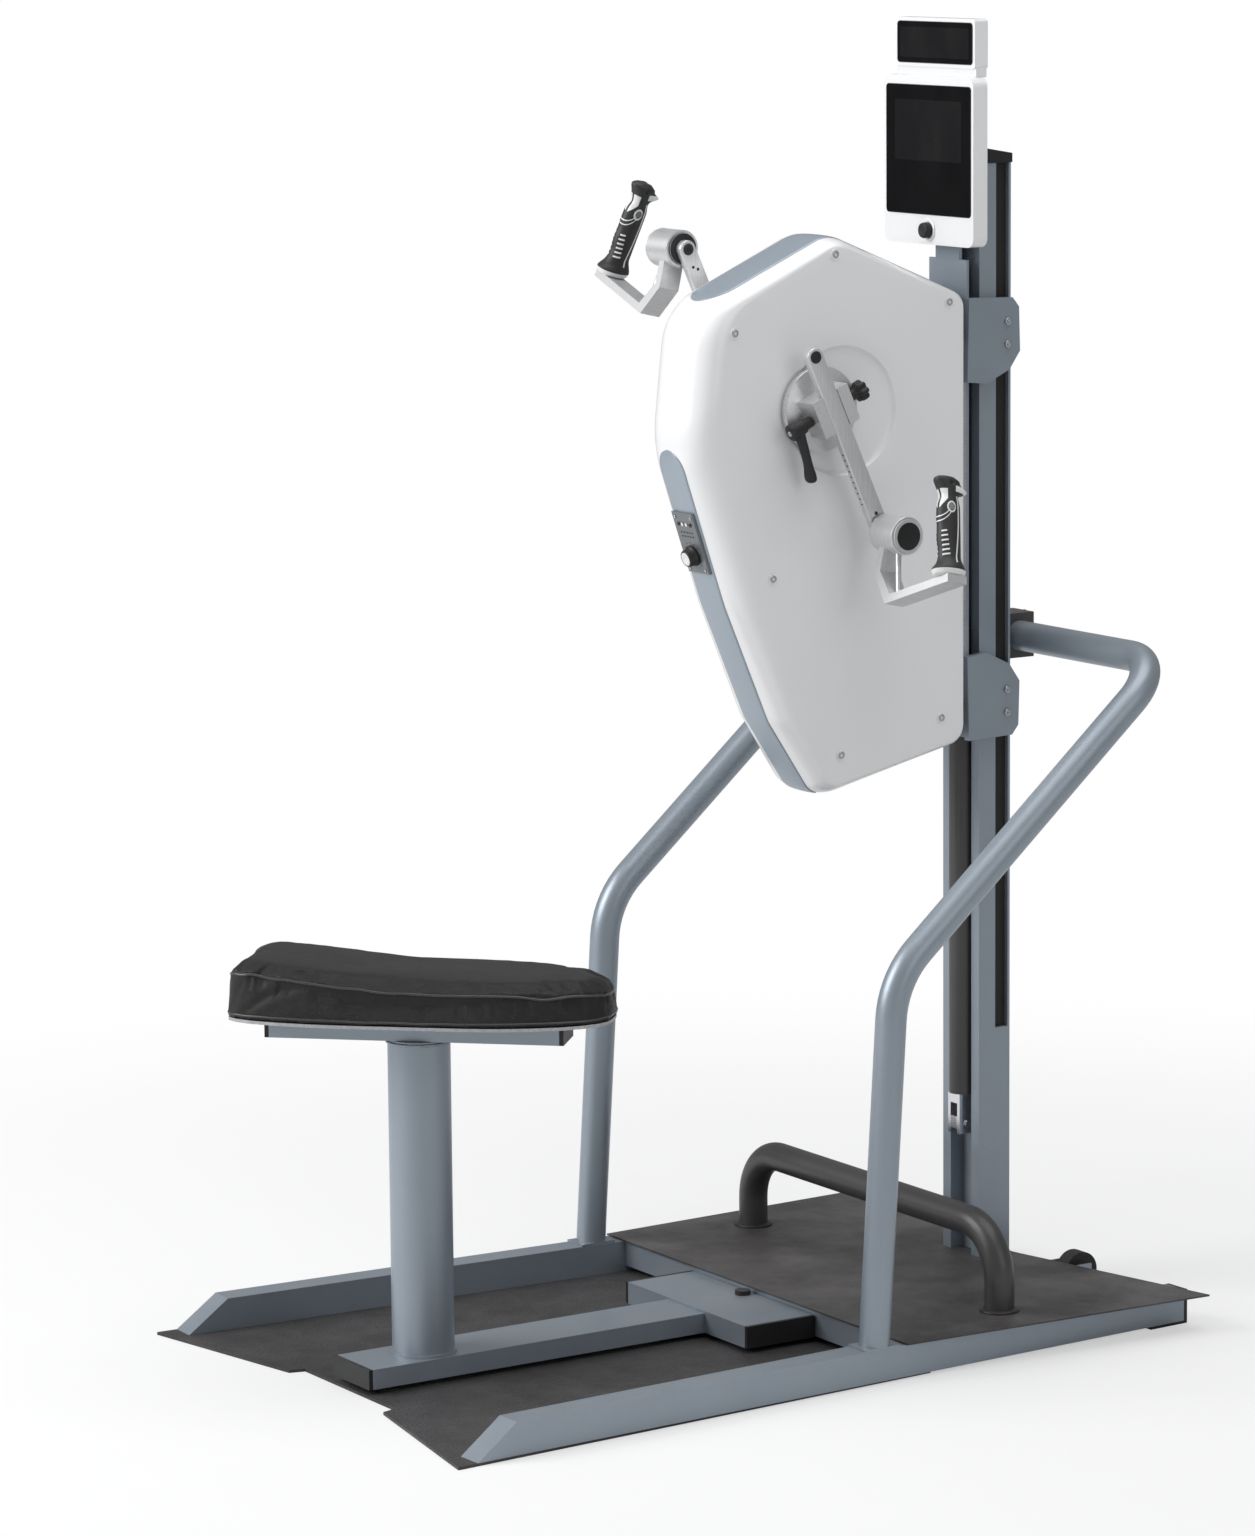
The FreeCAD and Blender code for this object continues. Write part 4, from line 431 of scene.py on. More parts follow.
def covered(tree, vector, tint, kind, amount, colour):
    """A tint with scuffs or dust of another colour over it."""
    mask = use_group(tree, kind, vector, Amount=amount)["Mask"]
    return blend_colours(tree, mask, tint, colour)


def grained(name, colour, roughness, metallic, grain, tints, gloss, layers=(), **values):
    """Finish whose colour and gloss are mottled between two each by a grain, given by its scale
    and depth. Each layer over it is a kind, an amount and a colour."""
    material, tree, shader = start_material(name, colour, roughness, metallic, **values)
    vector = object_vector(tree)
    texture = use_group(tree, "grain", vector, Scale=grain[0], Depth=grain[1])
    tint = blend_colours(tree, texture["Mottle"], *tints)
    for layer in layers:
        tint = covered(tree, vector, tint, *layer)
    end_material(tree, shader, tint, blend_values(tree, texture["Mottle"], *gloss),
                 texture["Relief"])
    return material


def moulded_plastic(name, dark, light, roughness, **values):
    """Moulded plastic with a fine texture and a trace of dust."""
    return grained(name, dark, roughness, 0.0, (1100.0, 0.00006), (dark, light),
                   (roughness - 0.06, roughness + 0.08), [("dust", 0.08, (0.4, 0.4, 0.4))],
                   **{"Specular_IOR_Level": 0.32, **values})


def bright_metal(name, colour, roughness):
    """Plated or machined metal with faint stains."""
    stained = tuple(channel * 0.9 for channel in colour)
    return grained(name, colour, roughness, 1.0, (300.0, 0.00001), (stained, colour),
                   (roughness, roughness + 0.12))


def pebbled_rubber(name, dark, light, scale, depth, roughness):
    """Rubber sheet: raised pebbles, paler where worn, dust between."""
    material, tree, shader = start_material(name, dark, roughness, Specular_IOR_Level=0.3)
    vector = object_vector(tree)
    pebble = use_group(tree, "pebble", vector, Scale=scale, Depth=depth)
    dusty = tuple(min(1.0, channel * 2.1) for channel in light)
    tint = blend_colours(tree, pebble["Wear"], dark, light)
    end_material(tree, shader, covered(tree, vector, tint, "dust", 0.3, dusty),
                 blend_values(tree, pebble["Wear"], roughness + 0.06, roughness - 0.12),
                 pebble["Relief"])
    return material


def seat_vinyl():
    """Black upholstery vinyl with leather grain and a soft sheen."""
    material, tree, shader = start_material("seat_vinyl_finish", (0.02, 0.019, 0.019), 0.42,
                                            Specular_IOR_Level=0.3, Sheen_Weight=0.03,
                                            Sheen_Roughness=0.5)
    vector = object_vector(tree)
    leather = use_group(tree, "leather", vector, Scale=520.0, Depth=0.00022)
    patch = ramp_node(tree, noise_node(tree, vector, 11.0, 4.0), 0.35, 0.7)
    tint = blend_colours(tree, patch, (0.008, 0.0075, 0.0078), (0.016, 0.0145, 0.014))
    tint = blend_colours(tree, leather["Crease"], (0.006, 0.006, 0.006), tint)
    end_material(tree, shader, tint, blend_values(tree, patch, 0.36, 0.5), leather["Relief"])
    return material


def brushed_metal(name, dark, light, scale, turn, roughness, depth=0.00004):
    """Brushed metal: streaks along one direction change its colour, gloss and relief."""
    material, tree, shader = start_material(name, light, roughness, 0.72)
    brushing = use_group(tree, "brushing", object_vector(tree, scale, turn), Depth=depth)
    streak = ramp_node(tree, brushing["Streak"], 0.3, 0.7)
    tint = covered(tree, object_vector(tree), blend_colours(tree, streak, dark, light),
                   "scuffs", 0.25, (0.85, 0.85, 0.85))
    gloss = blend_values(tree, streak, roughness + 0.08, roughness - 0.06)
    end_material(tree, shader, tint, gloss, brushing["Relief"])
    return material


def pane_glass(name, dark, light, roughness):
    """Black front pane with the faintest smears."""
    material, tree, shader = start_material(name, dark, roughness, Specular_IOR_Level=0.1)
    patch = ramp_node(tree, noise_node(tree, object_vector(tree, (1, 1, 0.4)), 26.0, 3.0),
                      0.4, 0.75)
    end_material(tree, shader, blend_colours(tree, patch, dark, light),
                 blend_values(tree, patch, roughness, roughness + 0.08))
    return material


def grip_rubber():
    """Black rubber and white inlay of a grip; the piece's attribute says where each one is."""
    material, tree, shader = start_material("grip_rubber_finish", (0.02, 0.02, 0.021), 0.5)
    mask = add(tree, "ShaderNodeAttribute", attribute_name="inlay")
    grain = use_group(tree, "grain", object_vector(tree), Scale=1400.0, Depth=0.00009)
    edge = ramp_node(tree, mask.outputs["Fac"], 0.42, 0.58)
    rubber = blend_colours(tree, grain["Mottle"], (0.012, 0.012, 0.013), (0.028, 0.028, 0.029))
    end_material(tree, shader, blend_colours(tree, edge, rubber, (0.74, 0.74, 0.73)),
                 blend_values(tree, edge, 0.52, 0.34), grain["Relief"])
    return material


BAR_TURN = (math.radians(-24.3), 0, 0)
STRAIGHT = (0, 0, 0)
# Satin metallic paint of the frame: flake mottle, a few scuffs, dust on faces that look up.
PAINT = grained("frame_paint_finish", (0.27, 0.31, 0.355), 0.4, 0.45, (1500.0, 0.00003),
                ((0.25, 0.29, 0.335), (0.3, 0.345, 0.39)), (0.34, 0.46),
                [("scuffs", 0.3, (0.45, 0.47, 0.5)), ("dust", 0.22, (0.42, 0.42, 0.42))],
                Coat_Weight=0.25, Coat_Roughness=0.25)
# Smooth blue-grey lacquer of the housing's bands.
TRIM = grained("trim_paint_finish", (0.3, 0.35, 0.405), 0.38, 0.3, (1300.0, 0.00002),
               ((0.285, 0.335, 0.39), (0.32, 0.37, 0.42)), (0.33, 0.42),
               Coat_Weight=0.4, Coat_Roughness=0.2)
# Dark paint of the footrest, the lift cylinder and the handrail's clamp.
DARK = grained("dark_paint_finish", (0.045, 0.043, 0.044), 0.42, 0.2, (900.0, 0.00008),
               ((0.035, 0.034, 0.035), (0.06, 0.057, 0.057)), (0.36, 0.5),
               [("scuffs", 0.35, (0.16, 0.155, 0.15))], Coat_Weight=0.3, Coat_Roughness=0.3)
# Glossy white shell: a trace of waviness from the mould and very light dust.
SHELL = grained("white_shell_finish", (0.8, 0.8, 0.805), 0.26, 0.0, (9.0, 0.00012),
                ((0.825, 0.825, 0.83), (0.84, 0.84, 0.845)), (0.26, 0.31),
                [("dust", 0.05, (0.7, 0.7, 0.7))], Coat_Weight=0.5, Coat_Roughness=0.08)
BLACK = moulded_plastic("black_plastic_finish", (0.012, 0.012, 0.013), (0.026, 0.026, 0.027),
                        0.42)
STRIP = moulded_plastic("slot_strip_finish", (0.012, 0.011, 0.01), (0.022, 0.02, 0.018), 0.5)
PANEL = moulded_plastic("panel_finish", (0.17, 0.18, 0.19), (0.23, 0.24, 0.25), 0.36,
                        Metallic=0.6)
MAT = pebbled_rubber("mat_rubber_finish", (0.04, 0.038, 0.038), (0.062, 0.058, 0.058), 240.0,
                     0.0006, 0.5)
PLATFORM = pebbled_rubber("platform_rubber_finish", (0.045, 0.042, 0.042),
                          (0.085, 0.079, 0.078), 420.0, 0.0003, 0.46)
TYRE = pebbled_rubber("tyre_finish", (0.02, 0.02, 0.02), (0.04, 0.04, 0.04), 700.0, 0.0002,
                      0.55)
VINYL = seat_vinyl()
ALUMINIUM = brushed_metal("bar_aluminium_finish", (0.6, 0.6, 0.605), (0.74, 0.74, 0.745),
                          (700, 700, 14), BAR_TURN, 0.36)
HANDLE_METAL = brushed_metal("handle_aluminium_finish", (0.6, 0.605, 0.61),
                             (0.74, 0.745, 0.75), (900, 60, 60), STRAIGHT, 0.38)
CLAMP_METAL = brushed_metal("clamp_aluminium_finish", (0.64, 0.64, 0.645), (0.78, 0.78, 0.785),
                            (30, 500, 500), STRAIGHT, 0.34)
STEEL = brushed_metal("steel_finish", (0.34, 0.34, 0.35), (0.5, 0.5, 0.52), (260, 260, 260),
                      STRAIGHT, 0.34, 0.00002)
IRON = bright_metal("iron_finish", (0.2, 0.2, 0.21), 0.5)
CHROME = bright_metal("chrome_finish", (0.75, 0.75, 0.77), 0.1)
SCREW = bright_metal("screw_finish", (0.5, 0.5, 0.51), 0.25)
GLASS = pane_glass("glass_finish", (0.004, 0.004, 0.0045), (0.006, 0.006, 0.0065), 0.1)
SCREEN = pane_glass("screen_finish", (0.009, 0.009, 0.01), (0.012, 0.012, 0.0125), 0.2)
GRIP = grip_rubber()
INLAY = moulded_plastic("white_inlay_finish", (0.7, 0.7, 0.69), (0.78, 0.78, 0.77), 0.35)
INK = moulded_plastic("ink_finish", (0.02, 0.02, 0.021), (0.03, 0.03, 0.031), 0.5)
# Seat piping: a real cord, glossier than the vinyl. Its paler colour is a painted highlight along
# the top seam, and the foot cord shares it.
PIPING_PAINTED_HIGHLIGHT = moulded_plastic("piping_painted_highlight", (0.035, 0.034, 0.034), (0.05, 0.048, 0.047), 0.26,
                         Specular_IOR_Level=0.5)
BELT = moulded_plastic("belt_finish", (0.015, 0.015, 0.015), (0.03, 0.03, 0.03), 0.55)

NODE_FINISHES = {
    MAT: ["floor_mat"],
    PLATFORM: ["platform_plate"],
    PAINT: ["base_rails", "cross_members", "column_profile", "handrail_tube",
            "handrail_flanges", "seat_beam", "seat_crossbar", "seat_post", "seat_tube",
            "seat_plate", "wheel_brackets", "carriage_plate", "carriage_brackets",
            "display_mount"],
    DARK: ["footrest_tube", "lift_barrel", "handrail_clamp"],
    BLACK: ["rail_end_caps", "column_cap", "seat_frame_caps", "seat_tube_caps", "frame_knob",
            "guide_shoes", "seat_frame_feet", "control_knob", "display_dial",
            "clamp_lever_right", "clamp_lever_left", "star_knob_right", "star_knob_left"],
    STRIP: ["slot_strips"],
    TYRE: ["wheel_right", "wheel_left"],
    CHROME: ["lift_clevis", "lift_rod"],
    VINYL: ["seat_cushion"],
    SHELL: ["housing_right", "housing_left", "display_case", "top_case"],
    TRIM: ["housing_trims"],
    PANEL: ["control_panel"],
    GLASS: ["display_glass"],
    SCREW: ["housing_screws"],
    STEEL: ["chassis_plates", "shaft_bearings", "crank_spindle", "flywheel"],
    IRON: ["magnet_brake"],
    BELT: ["drive_belt"],
    CLAMP_METAL: ["crank_clamps", "drive_pulley"],
    ALUMINIUM: ["crank_bar_right", "crank_bar_left"],
    HANDLE_METAL: ["handle_right", "handle_left"],
    GRIP: ["grip_right", "grip_left"],
}


def dress_nodes():
    """Gives each CAD node the finish of its list."""
    for material, names in NODE_FINISHES.items():
        for name in names:
            node = frame["nodes"][name]
            if not node.material_slots:
                node.data.materials.append(material)
            for slot in node.material_slots:
                slot.link = "OBJECT"
                slot.material = material


# Seat

SEAT_SPOT = joint_spot("seat_swivel")[0]
SEAT_TURN = math.radians(-43)
SEAT_SIDE = np.array([math.cos(SEAT_TURN), math.sin(SEAT_TURN), 0])
SEAT_FRONT = np.array([-math.sin(SEAT_TURN), math.cos(SEAT_TURN), 0])
PAD_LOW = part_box("seat_cushion")[0].z
WALL_PULL, CROWN = 0.0022, 0.0035
# Reach along the seat, half width and height of the pad's sections, from tail to nose.
PAD_SECTIONS = np.array([
    (-0.254, 0.062, 0.0685), (-0.25, 0.073, 0.0695), (-0.238, 0.085, 0.0705),
    (-0.215, 0.0955, 0.071), (-0.178, 0.1045, 0.0685), (-0.13, 0.111, 0.063),
    (-0.085, 0.1135, 0.0585), (-0.03, 0.114, 0.054), (0.03, 0.1135, 0.052),
    (0.085, 0.1115, 0.0512), (0.13, 0.107, 0.0508), (0.175, 0.0965, 0.0502),
    (0.215, 0.0825, 0.0498), (0.243, 0.0665, 0.049), (0.261, 0.05, 0.0478),
    (0.27, 0.036, 0.0464), (0.274, 0.024, 0.045)])


def pad_outline(count=160):
    """The pad's plan: half widths over its length, mirrored, as points spaced evenly by reach
    angle. The last column is the height of the pad's rim above its base."""
    reach, half, high = PAD_SECTIONS.T
    turn = np.linspace(0, 2 * np.pi, count, endpoint=False)
    middle, span = (reach[0] + reach[-1]) / 2, (reach[-1] - reach[0]) / 2
    along = middle - span * np.cos(turn)
    width = np.interp(along, reach, half)
    ends = np.clip(np.abs(np.sin(turn)) / 0.16, 0, 1)
    width = width * np.sin(ends * np.pi / 2)
    return np.stack([np.sign(np.sin(turn)) * width, along, np.interp(along, reach, high)], -1)


def seat_points(local):
    """Points given sideways, along the seat and up from the pad's base, set in the frame."""
    flat = np.asarray(local, float)
    base = np.array([SEAT_SPOT[0], SEAT_SPOT[1], PAD_LOW])
    return (flat[..., :1] * SEAT_SIDE + flat[..., 1:2] * SEAT_FRONT + flat[..., 2:] * Z_AXIS
            + base)


def pad_rings(shrink):
    """Closed pad: rings from the middle of the base, out to the wall, up it, over the top seam
    and in over the crown. The wall pulls in a little between its two seams."""
    outline = pad_outline()
    steps = [(share, 0.0, 0.0) for share in (0.02, 0.35, 0.7, 0.93)]
    steps += [(1.0, rise, -WALL_PULL * math.sin(rise * math.pi)) for rise in np.linspace(0, 1, 9)]
    steps += [(share, 1.0, 0.0) for share in (0.975, 0.93, 0.86, 0.76, 0.64, 0.5, 0.36, 0.22,
                                              0.1, 0.02)]
    rings = []
    for share, up, pull in steps:
        plan = outline[:, :2] * share
        length = np.linalg.norm(plan, axis=1, keepdims=True)
        plan = plan + plan / np.maximum(length, 1e-6) * (pull - shrink * (share > 0.9))
        height = outline[:, 2:] * up + 0.0012 * (up == 0.0)
        if up == 1.0:
            # The top's height follows the section that the point lies over.
            height = np.interp(plan[:, 1:2], PAD_SECTIONS[:, 0], PAD_SECTIONS[:, 2]) - CROWN
            height = height + CROWN * (1 - share ** 2) * (share < 1)
        rings.append(np.concatenate([plan, height], 1))
    return np.array(rings)


def puff(piece, limit):
    """Fills the pad by a cloth simulation with pressure, then limits how far a point moved."""
    remesh = piece.modifiers.new("voxels", "REMESH")
    remesh.mode, remesh.voxel_size = "VOXEL", 0.005
    bpy.context.view_layer.objects.active = piece
    bpy.ops.object.select_all(action="DESELECT")
    piece.select_set(True)
    bpy.ops.object.modifier_apply(modifier="voxels")
    before = mesh_points(piece.data)
    held = piece.vertex_groups.new(name="stapled")
    low = np.nonzero(before[:, 2] < PAD_LOW + 0.004)[0]
    held.add(low.tolist(), 1.0, "REPLACE")
    cloth = piece.modifiers.new("stuffing", "CLOTH")
    cloth.settings.use_pressure = True
    cloth.settings.uniform_pressure_force = 4.0
    cloth.settings.effector_weights.gravity = 0
    cloth.settings.vertex_group_mass = "stapled"
    cloth.settings.tension_stiffness = 25
    scene = bpy.context.scene
    for index in range(1, 21):
        scene.frame_set(index)
    drawn = piece.evaluated_get(bpy.context.evaluated_depsgraph_get())
    moved = mesh_points(drawn.data) - before
    length = np.linalg.norm(moved, axis=1, keepdims=True)
    after = before + moved * np.minimum(1, limit / np.maximum(length, 1e-9))
    piece.modifiers.remove(cloth)
    scene.frame_set(1)
    piece.data.vertices.foreach_set("co", after.reshape(-1))
    piece.data.update()


def seat_pad():
    """Upholstered pad: closed rings of pad_rings, filled by the simulation."""
    pad = ring_piece("seat_pad", seat_points(pad_rings(0.004)), "seat", VINYL)
    puff(pad, 0.009)
    smooth = pad.modifiers.new("smoothing", "SUBSURF")
    smooth.levels = smooth.render_levels = 1
    pad.data.polygons.foreach_set("use_smooth", np.ones(len(pad.data.polygons), bool))
    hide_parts("seat_cushion")
    return pad


def seat_piping(pad):
    """Two seams round the pad: a cord along its top rim and a thinner one along its foot. Each
    path is drawn to the pad's finished surface."""
    outline = pad_outline(240)
    drawn = pad.evaluated_get(bpy.context.evaluated_depsgraph_get()).data
    tree = mesh_tree(drawn)
    for name, lift, radius in (("pad_top_piping", True, 0.0019),
                               ("pad_foot_piping", False, 0.0015)):
        height = outline[:, 2:] - 0.0085 if lift else 0 * outline[:, 2:] + 0.006
        start = seat_points(np.concatenate([outline[:, :2], height], 1))
        path = np.array([tree.find_nearest(Vector(spot))[0][:] for spot in start])
        for _ in range(6):
            path = (np.roll(path, 1, 0) + 2 * path + np.roll(path, -1, 0)) / 4
        # Both cords take the piping colour, whose paleness is a painted highlight along the seams.
        swept_piece(name, path, radius, True, "seat", PIPING_PAINTED_HIGHLIGHT, 10)


def seat_base():
    """Thin tray under the pad, which follows the pad's plan a little inside it."""
    outline = pad_outline(120)[:, :2]
    plan = outline * (1 - 0.006 / np.linalg.norm(outline, axis=1, keepdims=True))
    steps = ((0.02, -0.005), (0.97, -0.005), (1, -0.0046), (1, -0.0002), (0.02, -0.0002))
    rings = [np.column_stack([plan * share, np.full(len(plan), height)])
             for share, height in steps]
    tray = ring_piece("seat_base_tray", seat_points(rings), "seat", STEEL,
                      smooth=False)
    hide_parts("seat_plate")


# Handles and grips

# Height shares of a grip's white skirt and its badges, and the badges' angle.
SKIRT, BADGE_SHARE, BADGE_ANGLE = 0.055, 0.685, 1.22


def span_along(name, centre, axis):
    """How far a CAD node reaches along an axis, below and above a point."""
    reach = (mesh_points(frame["nodes"][name].data) - centre) @ axis
    return reach.min(), reach.max()


def smooth_step(value, low, high):
    """Smooth rise from 0 to 1 between two values."""
    share = np.clip((value - low) / (high - low), 0, 1)
    return share * share * (3 - 2 * share)


def swell(value, middle, width):
    """Smooth hump over a value, 1 at its middle."""
    return np.exp(-((value - middle) / width) ** 2)


def lobe(angle, centre, width):
    """Smooth hump round an angle, 1 at its middle."""
    return swell((angle - centre + np.pi) % (2 * np.pi) - np.pi, 0, width)


def grip_reach(share, angle, front, back):
    """Radius of a grip over height share and angle: ovals that grow at the flared base, at the
    finger swell, at the small beak in front of the top and at the hooked lip behind it."""
    reach = 0.0152 + 0.0016 * np.cos(2 * angle)
    humps = ((0.0019, 0.55, 0.2, front), (-0.0026, 0.8, 0.055, front + 0.4),
             (0.0058, 0.945, 0.05, front), (0.0135, 0.875, 0.045, back),
             (-0.0055, 0.78, 0.05, back))
    for height, middle, width, facing_side in humps:
        reach = reach + height * swell(share, middle, width) * facing_side
    ripples = smooth_step(share, 0.2, 0.3) * (1 - smooth_step(share, 0.5, 0.6))
    reach = reach + 0.001 * np.sin(share * 21) * front * ripples
    reach = reach + 0.0068 * (1 - smooth_step(share, 0.04, 0.2))
    reach = reach + 0.004 * (1 - smooth_step(share, 0.06, 0.13)) * front
    reach = reach * (1 - 0.32 * smooth_step(share, 0.955, 0.995))
    reach = reach * np.where(share < SKIRT, 0.86 + 0.14 * share / SKIRT, 1.0)
    closing = np.clip(np.minimum(share, 1 - share) / 0.012, 0, 1)
    notch = swell(share, 0.93, 0.02) * lobe(np.abs(angle), 1.35, 0.22)
    return reach * (0.82 + 0.18 * closing) - 0.0035 * notch


def grip_form(side):
    """Moulded grip with its two badges. The attribute inlay is 1 on the white parts."""
    node = "grip_%s" % side
    centre, axis = joint_spot("grip_%s_turn" % side)
    low, high = span_along(node, centre, axis)
    directions = facing(axis, (0.12, -1, 0))
    share = np.linspace(0, 1, 190)[:, None]
    angle = np.linspace(-np.pi, np.pi, 144, endpoint=False)[None, :]
    front, back = lobe(angle, 0, 0.75), lobe(angle, np.pi, 0.6)
    reach = grip_reach(share, angle, front, back)
    lift = low + (high - low) * share + 0.004 * smooth_step(share, 0.8, 1) * (front - back)
    points = np.stack([reach * np.cos(angle), reach * np.sin(angle), np.minimum(lift, high)], -1)
    piece = ring_piece("grip_%s_body" % side, points @ directions + centre, node,
                       GRIP)
    layer = piece.data.attributes.new("inlay", "FLOAT", "POINT")
    layer.data.foreach_set("value", grip_inlay(share, angle).astype(np.float32).ravel())
    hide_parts(node)
    for index, turn in enumerate((BADGE_ANGLE, -BADGE_ANGLE)):
        outward = np.array([math.cos(turn), math.sin(turn), 0]) @ directions
        spot = centre + axis * (low + BADGE_SHARE * (high - low)) + outward * 0.0128
        turned_piece("grip_%s_badge_%d" % (side, index),
                     rounded_profile(0.0046, 0, 0.0022, 0.0008), spot, facing(outward, axis),
                     node, "grip_rubber", PANEL, 28)


def band(value, low, high, soft):
    """1 between two values, falling to 0 over a soft edge."""
    return (np.clip((value - low) / soft + 0.5, 0, 1)
            * np.clip((high - value) / soft + 0.5, 0, 1))


def grip_inlay(share, angle):
    """White parts of a grip over height share and angle from its front: the skirt, short ribs
    low on the front, two curved stripes, a panel under the beak, a line down each side, a ring
    round each badge and the hooked lip."""
    away = np.abs(angle)
    soft = 0.008
    parts = [1 - np.clip((share - SKIRT) / soft + 0.5, 0, 1) + 0 * away]
    for index in range(6):
        middle = 0.2 + 0.047 * index + 0.012 * away
        parts.append(band(share, middle - 0.0085, middle + 0.0085, soft)
                     * band(away, 0.28, 1.0 - 0.05 * index, 0.05))
    for middle in (0.545, 0.59):
        curve = middle + 0.08 * (away - 0.1) ** 2
        parts.append(band(share, curve - 0.006, curve + 0.006, soft)
                     * band(away, -1, 1.15, 0.05))
    parts.append(band(share, 0.66 + 0.13 * away, 0.865, soft) * band(away, 0.12, 0.85, 0.05))
    line = 1.62 + 0.42 * np.sin(share * 3.4 - 0.5)
    parts.append(band(away, line - 0.09, line + 0.09, 0.06) * band(share, 0.125, 0.8, soft))
    ring = np.hypot((share - BADGE_SHARE) / 0.052, (away - BADGE_ANGLE) / 0.42)
    parts.append(band(ring, 0.78, 1.12, 0.12))
    parts.append(band(share, 0.845, 0.905, soft) * band(away, 1.75, 4, 0.06))
    return np.maximum.reduce(parts)


def barrel_ends(side, sign):
    """Black cap over the barrel's outer end, black ring beside the bar and the metal rim."""
    centre, _ = joint_spot("handle_%s_swivel" % side)
    cap = [(0.0005, 0.1717), (0.0241, 0.1718), (0.0238, 0.173), (0.0226, 0.1745),
           (0.0205, 0.1757), (0.0165, 0.1766), (0.009, 0.1771), (0.0005, 0.1772)]
    ring = [(0.0085, 0.1163), (0.0214, 0.1163), (0.0222, 0.1168), (0.0224, 0.1176),
            (0.0222, 0.1187), (0.0214, 0.1191), (0.0085, 0.1191)]
    rim = [(0.0235, 0.1703), (0.0262, 0.1703), (0.02655, 0.1708), (0.0266, 0.1714),
           (0.0262, 0.1721), (0.0252, 0.1724), (0.0235, 0.1724)]
    for name, profile, slot, material in (("cap", cap, "black_plastic", BLACK),
                                          ("washer", ring, "black_plastic", BLACK),
                                          ("rim", rim, "aluminium", HANDLE_METAL)):
        turned_piece("barrel_%s_%s" % (name, side), profile, centre * [0, 1, 1],
                     facing(sign * X_AXIS, Z_AXIS), "handle_%s" % side, slot, material, 72)


def socket_screw(name, spot, outward, radius, height, body, slot, material, count=40):
    """Round screw head: a rolled rim, a flat face and a six-sided socket sunk in it."""
    directions = facing(outward, Z_AXIS if abs(unit(outward)[2]) < 0.9 else Y_AXIS)
    edge = 0.22 * radius
    profile = [(radius * 0.94, 0), (radius, 0.25 * height), (radius, height - edge),
               (radius - 0.3 * edge, height - 0.3 * edge), (radius - edge, height),
               (radius * 0.56, height), (radius * 0.5, height * 0.96),
               (radius * 0.48, height * 0.35), (radius * 0.02, height * 0.3)]

    def six_sided(angles):
        """Factor that makes the socket's rings hexagons."""
        factor = np.ones((len(profile), count))
        side = (angles + np.pi / 6) % (np.pi / 3) - np.pi / 6
        factor[6:8] = math.cos(np.pi / 6) / np.cos(side)
        return factor

    return turned_piece(name, profile, spot, directions, body, slot, material, count, six_sided)


# Half width, inner and outer face and overhang behind the hub of a crank bar.
BAR_HALF, BAR_INNER, BAR_OUTER, BAR_TAIL = 0.0125, 0.104, 0.116, 0.0825


def bar_rings(tail, pivot, radius, low, high, edge, count=40):
    """Flat bar with two round ends: stadium loops that shrink over its rounded edges."""
    along = unit(pivot - tail)
    flank = np.cross(X_AXIS, along)
    turn = np.linspace(-np.pi / 2, np.pi / 2, count)[:, None]
    arc = np.cos(turn) * along + np.sin(turn) * flank
    bend = np.linspace(0, np.pi / 2, 5)
    steps = [(edge * (1 - math.sin(t)), low + edge * (1 - math.cos(t))) for t in bend]
    steps += [(inset, high + low - x) for inset, x in steps[::-1]]
    rings = []
    for inset, x in steps:
        loop = np.concatenate([pivot + arc * (radius - inset), tail - arc * (radius - inset)])
        rings.append(loop + x * X_AXIS)
    return np.array(rings)


def bar_details(side, sign):
    """Crank bar with round ends, its pin and end plug, screws and the row of scale dots."""
    body = "bar_%s" % side
    pivot = joint_spot("handle_%s_swivel" % side)[0] * [0, 1, 1]
    hub = joint_spot("crank_spin")[0] * [0, 1, 1]
    along = unit(pivot - hub)
    flank = unit(np.array([0, -abs(along[2]), -abs(along[1])]))
    tail = hub - along * BAR_TAIL
    outward = sign * X_AXIS
    rings = bar_rings(tail, pivot, BAR_HALF, BAR_INNER, BAR_OUTER, 0.0015) * [sign, 1, 1]
    bar = ring_piece("bar_%s_body" % side, rings, body, ALUMINIUM)
    fix_outward(bar)
    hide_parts("crank_bar_%s" % side)
    pin = [(0.0008, 0.1155), (0.0112, 0.1155), (0.0117, 0.1162), (0.0117, 0.1672),
           (0.0112, 0.1678), (0.0006, 0.1678)]
    plug = [(0.0083, 0.1154), (0.0087, 0.1159), (0.0086, 0.1166), (0.0074, 0.1171),
            (0.004, 0.1174), (0.0005, 0.1175)]
    directions = facing(outward, Z_AXIS)
    turned_piece("bar_%s_pin" % side, pin, pivot, directions, body, "aluminium", ALUMINIUM, 48)
    turned_piece("bar_%s_plug" % side, plug, tail, directions, body, "black_plastic", BLACK, 48)
    inner, outer = pivot + outward * BAR_INNER, pivot + outward * BAR_OUTER
    screws = (("pivot_screw_%s" % side, inner, -outward, 0.0082, 0.0024, 40),
              ("set_screw_inner_%s_0" % side, inner - along * 0.026 + flank * 0.003, -outward,
               0.0022, 0.0005, 20),
              ("set_screw_inner_%s_1" % side, inner - along * 0.032 - flank * 0.003, -outward,
               0.0022, 0.0005, 20),
              ("set_screw_outer_%s" % side, outer - along * 0.03, outward, 0.0026, 0.0006, 20))
    for name, place, out, radius, height, count in screws:
        socket_screw(name, place, out, radius, height, body, "aluminium", INK, count)
    start = hub + outward * 0.11 + flank * BAR_HALF
    dots = [start + along * (0.062 + 0.0085 * step) for step in range(10)]
    marks("bar_scale_%s" % side, dots, along, X_AXIS, flank, 0.0018, 0.0034, 0.0002, body,
          "black_plastic", INK)


# Clamp levers and star knobs

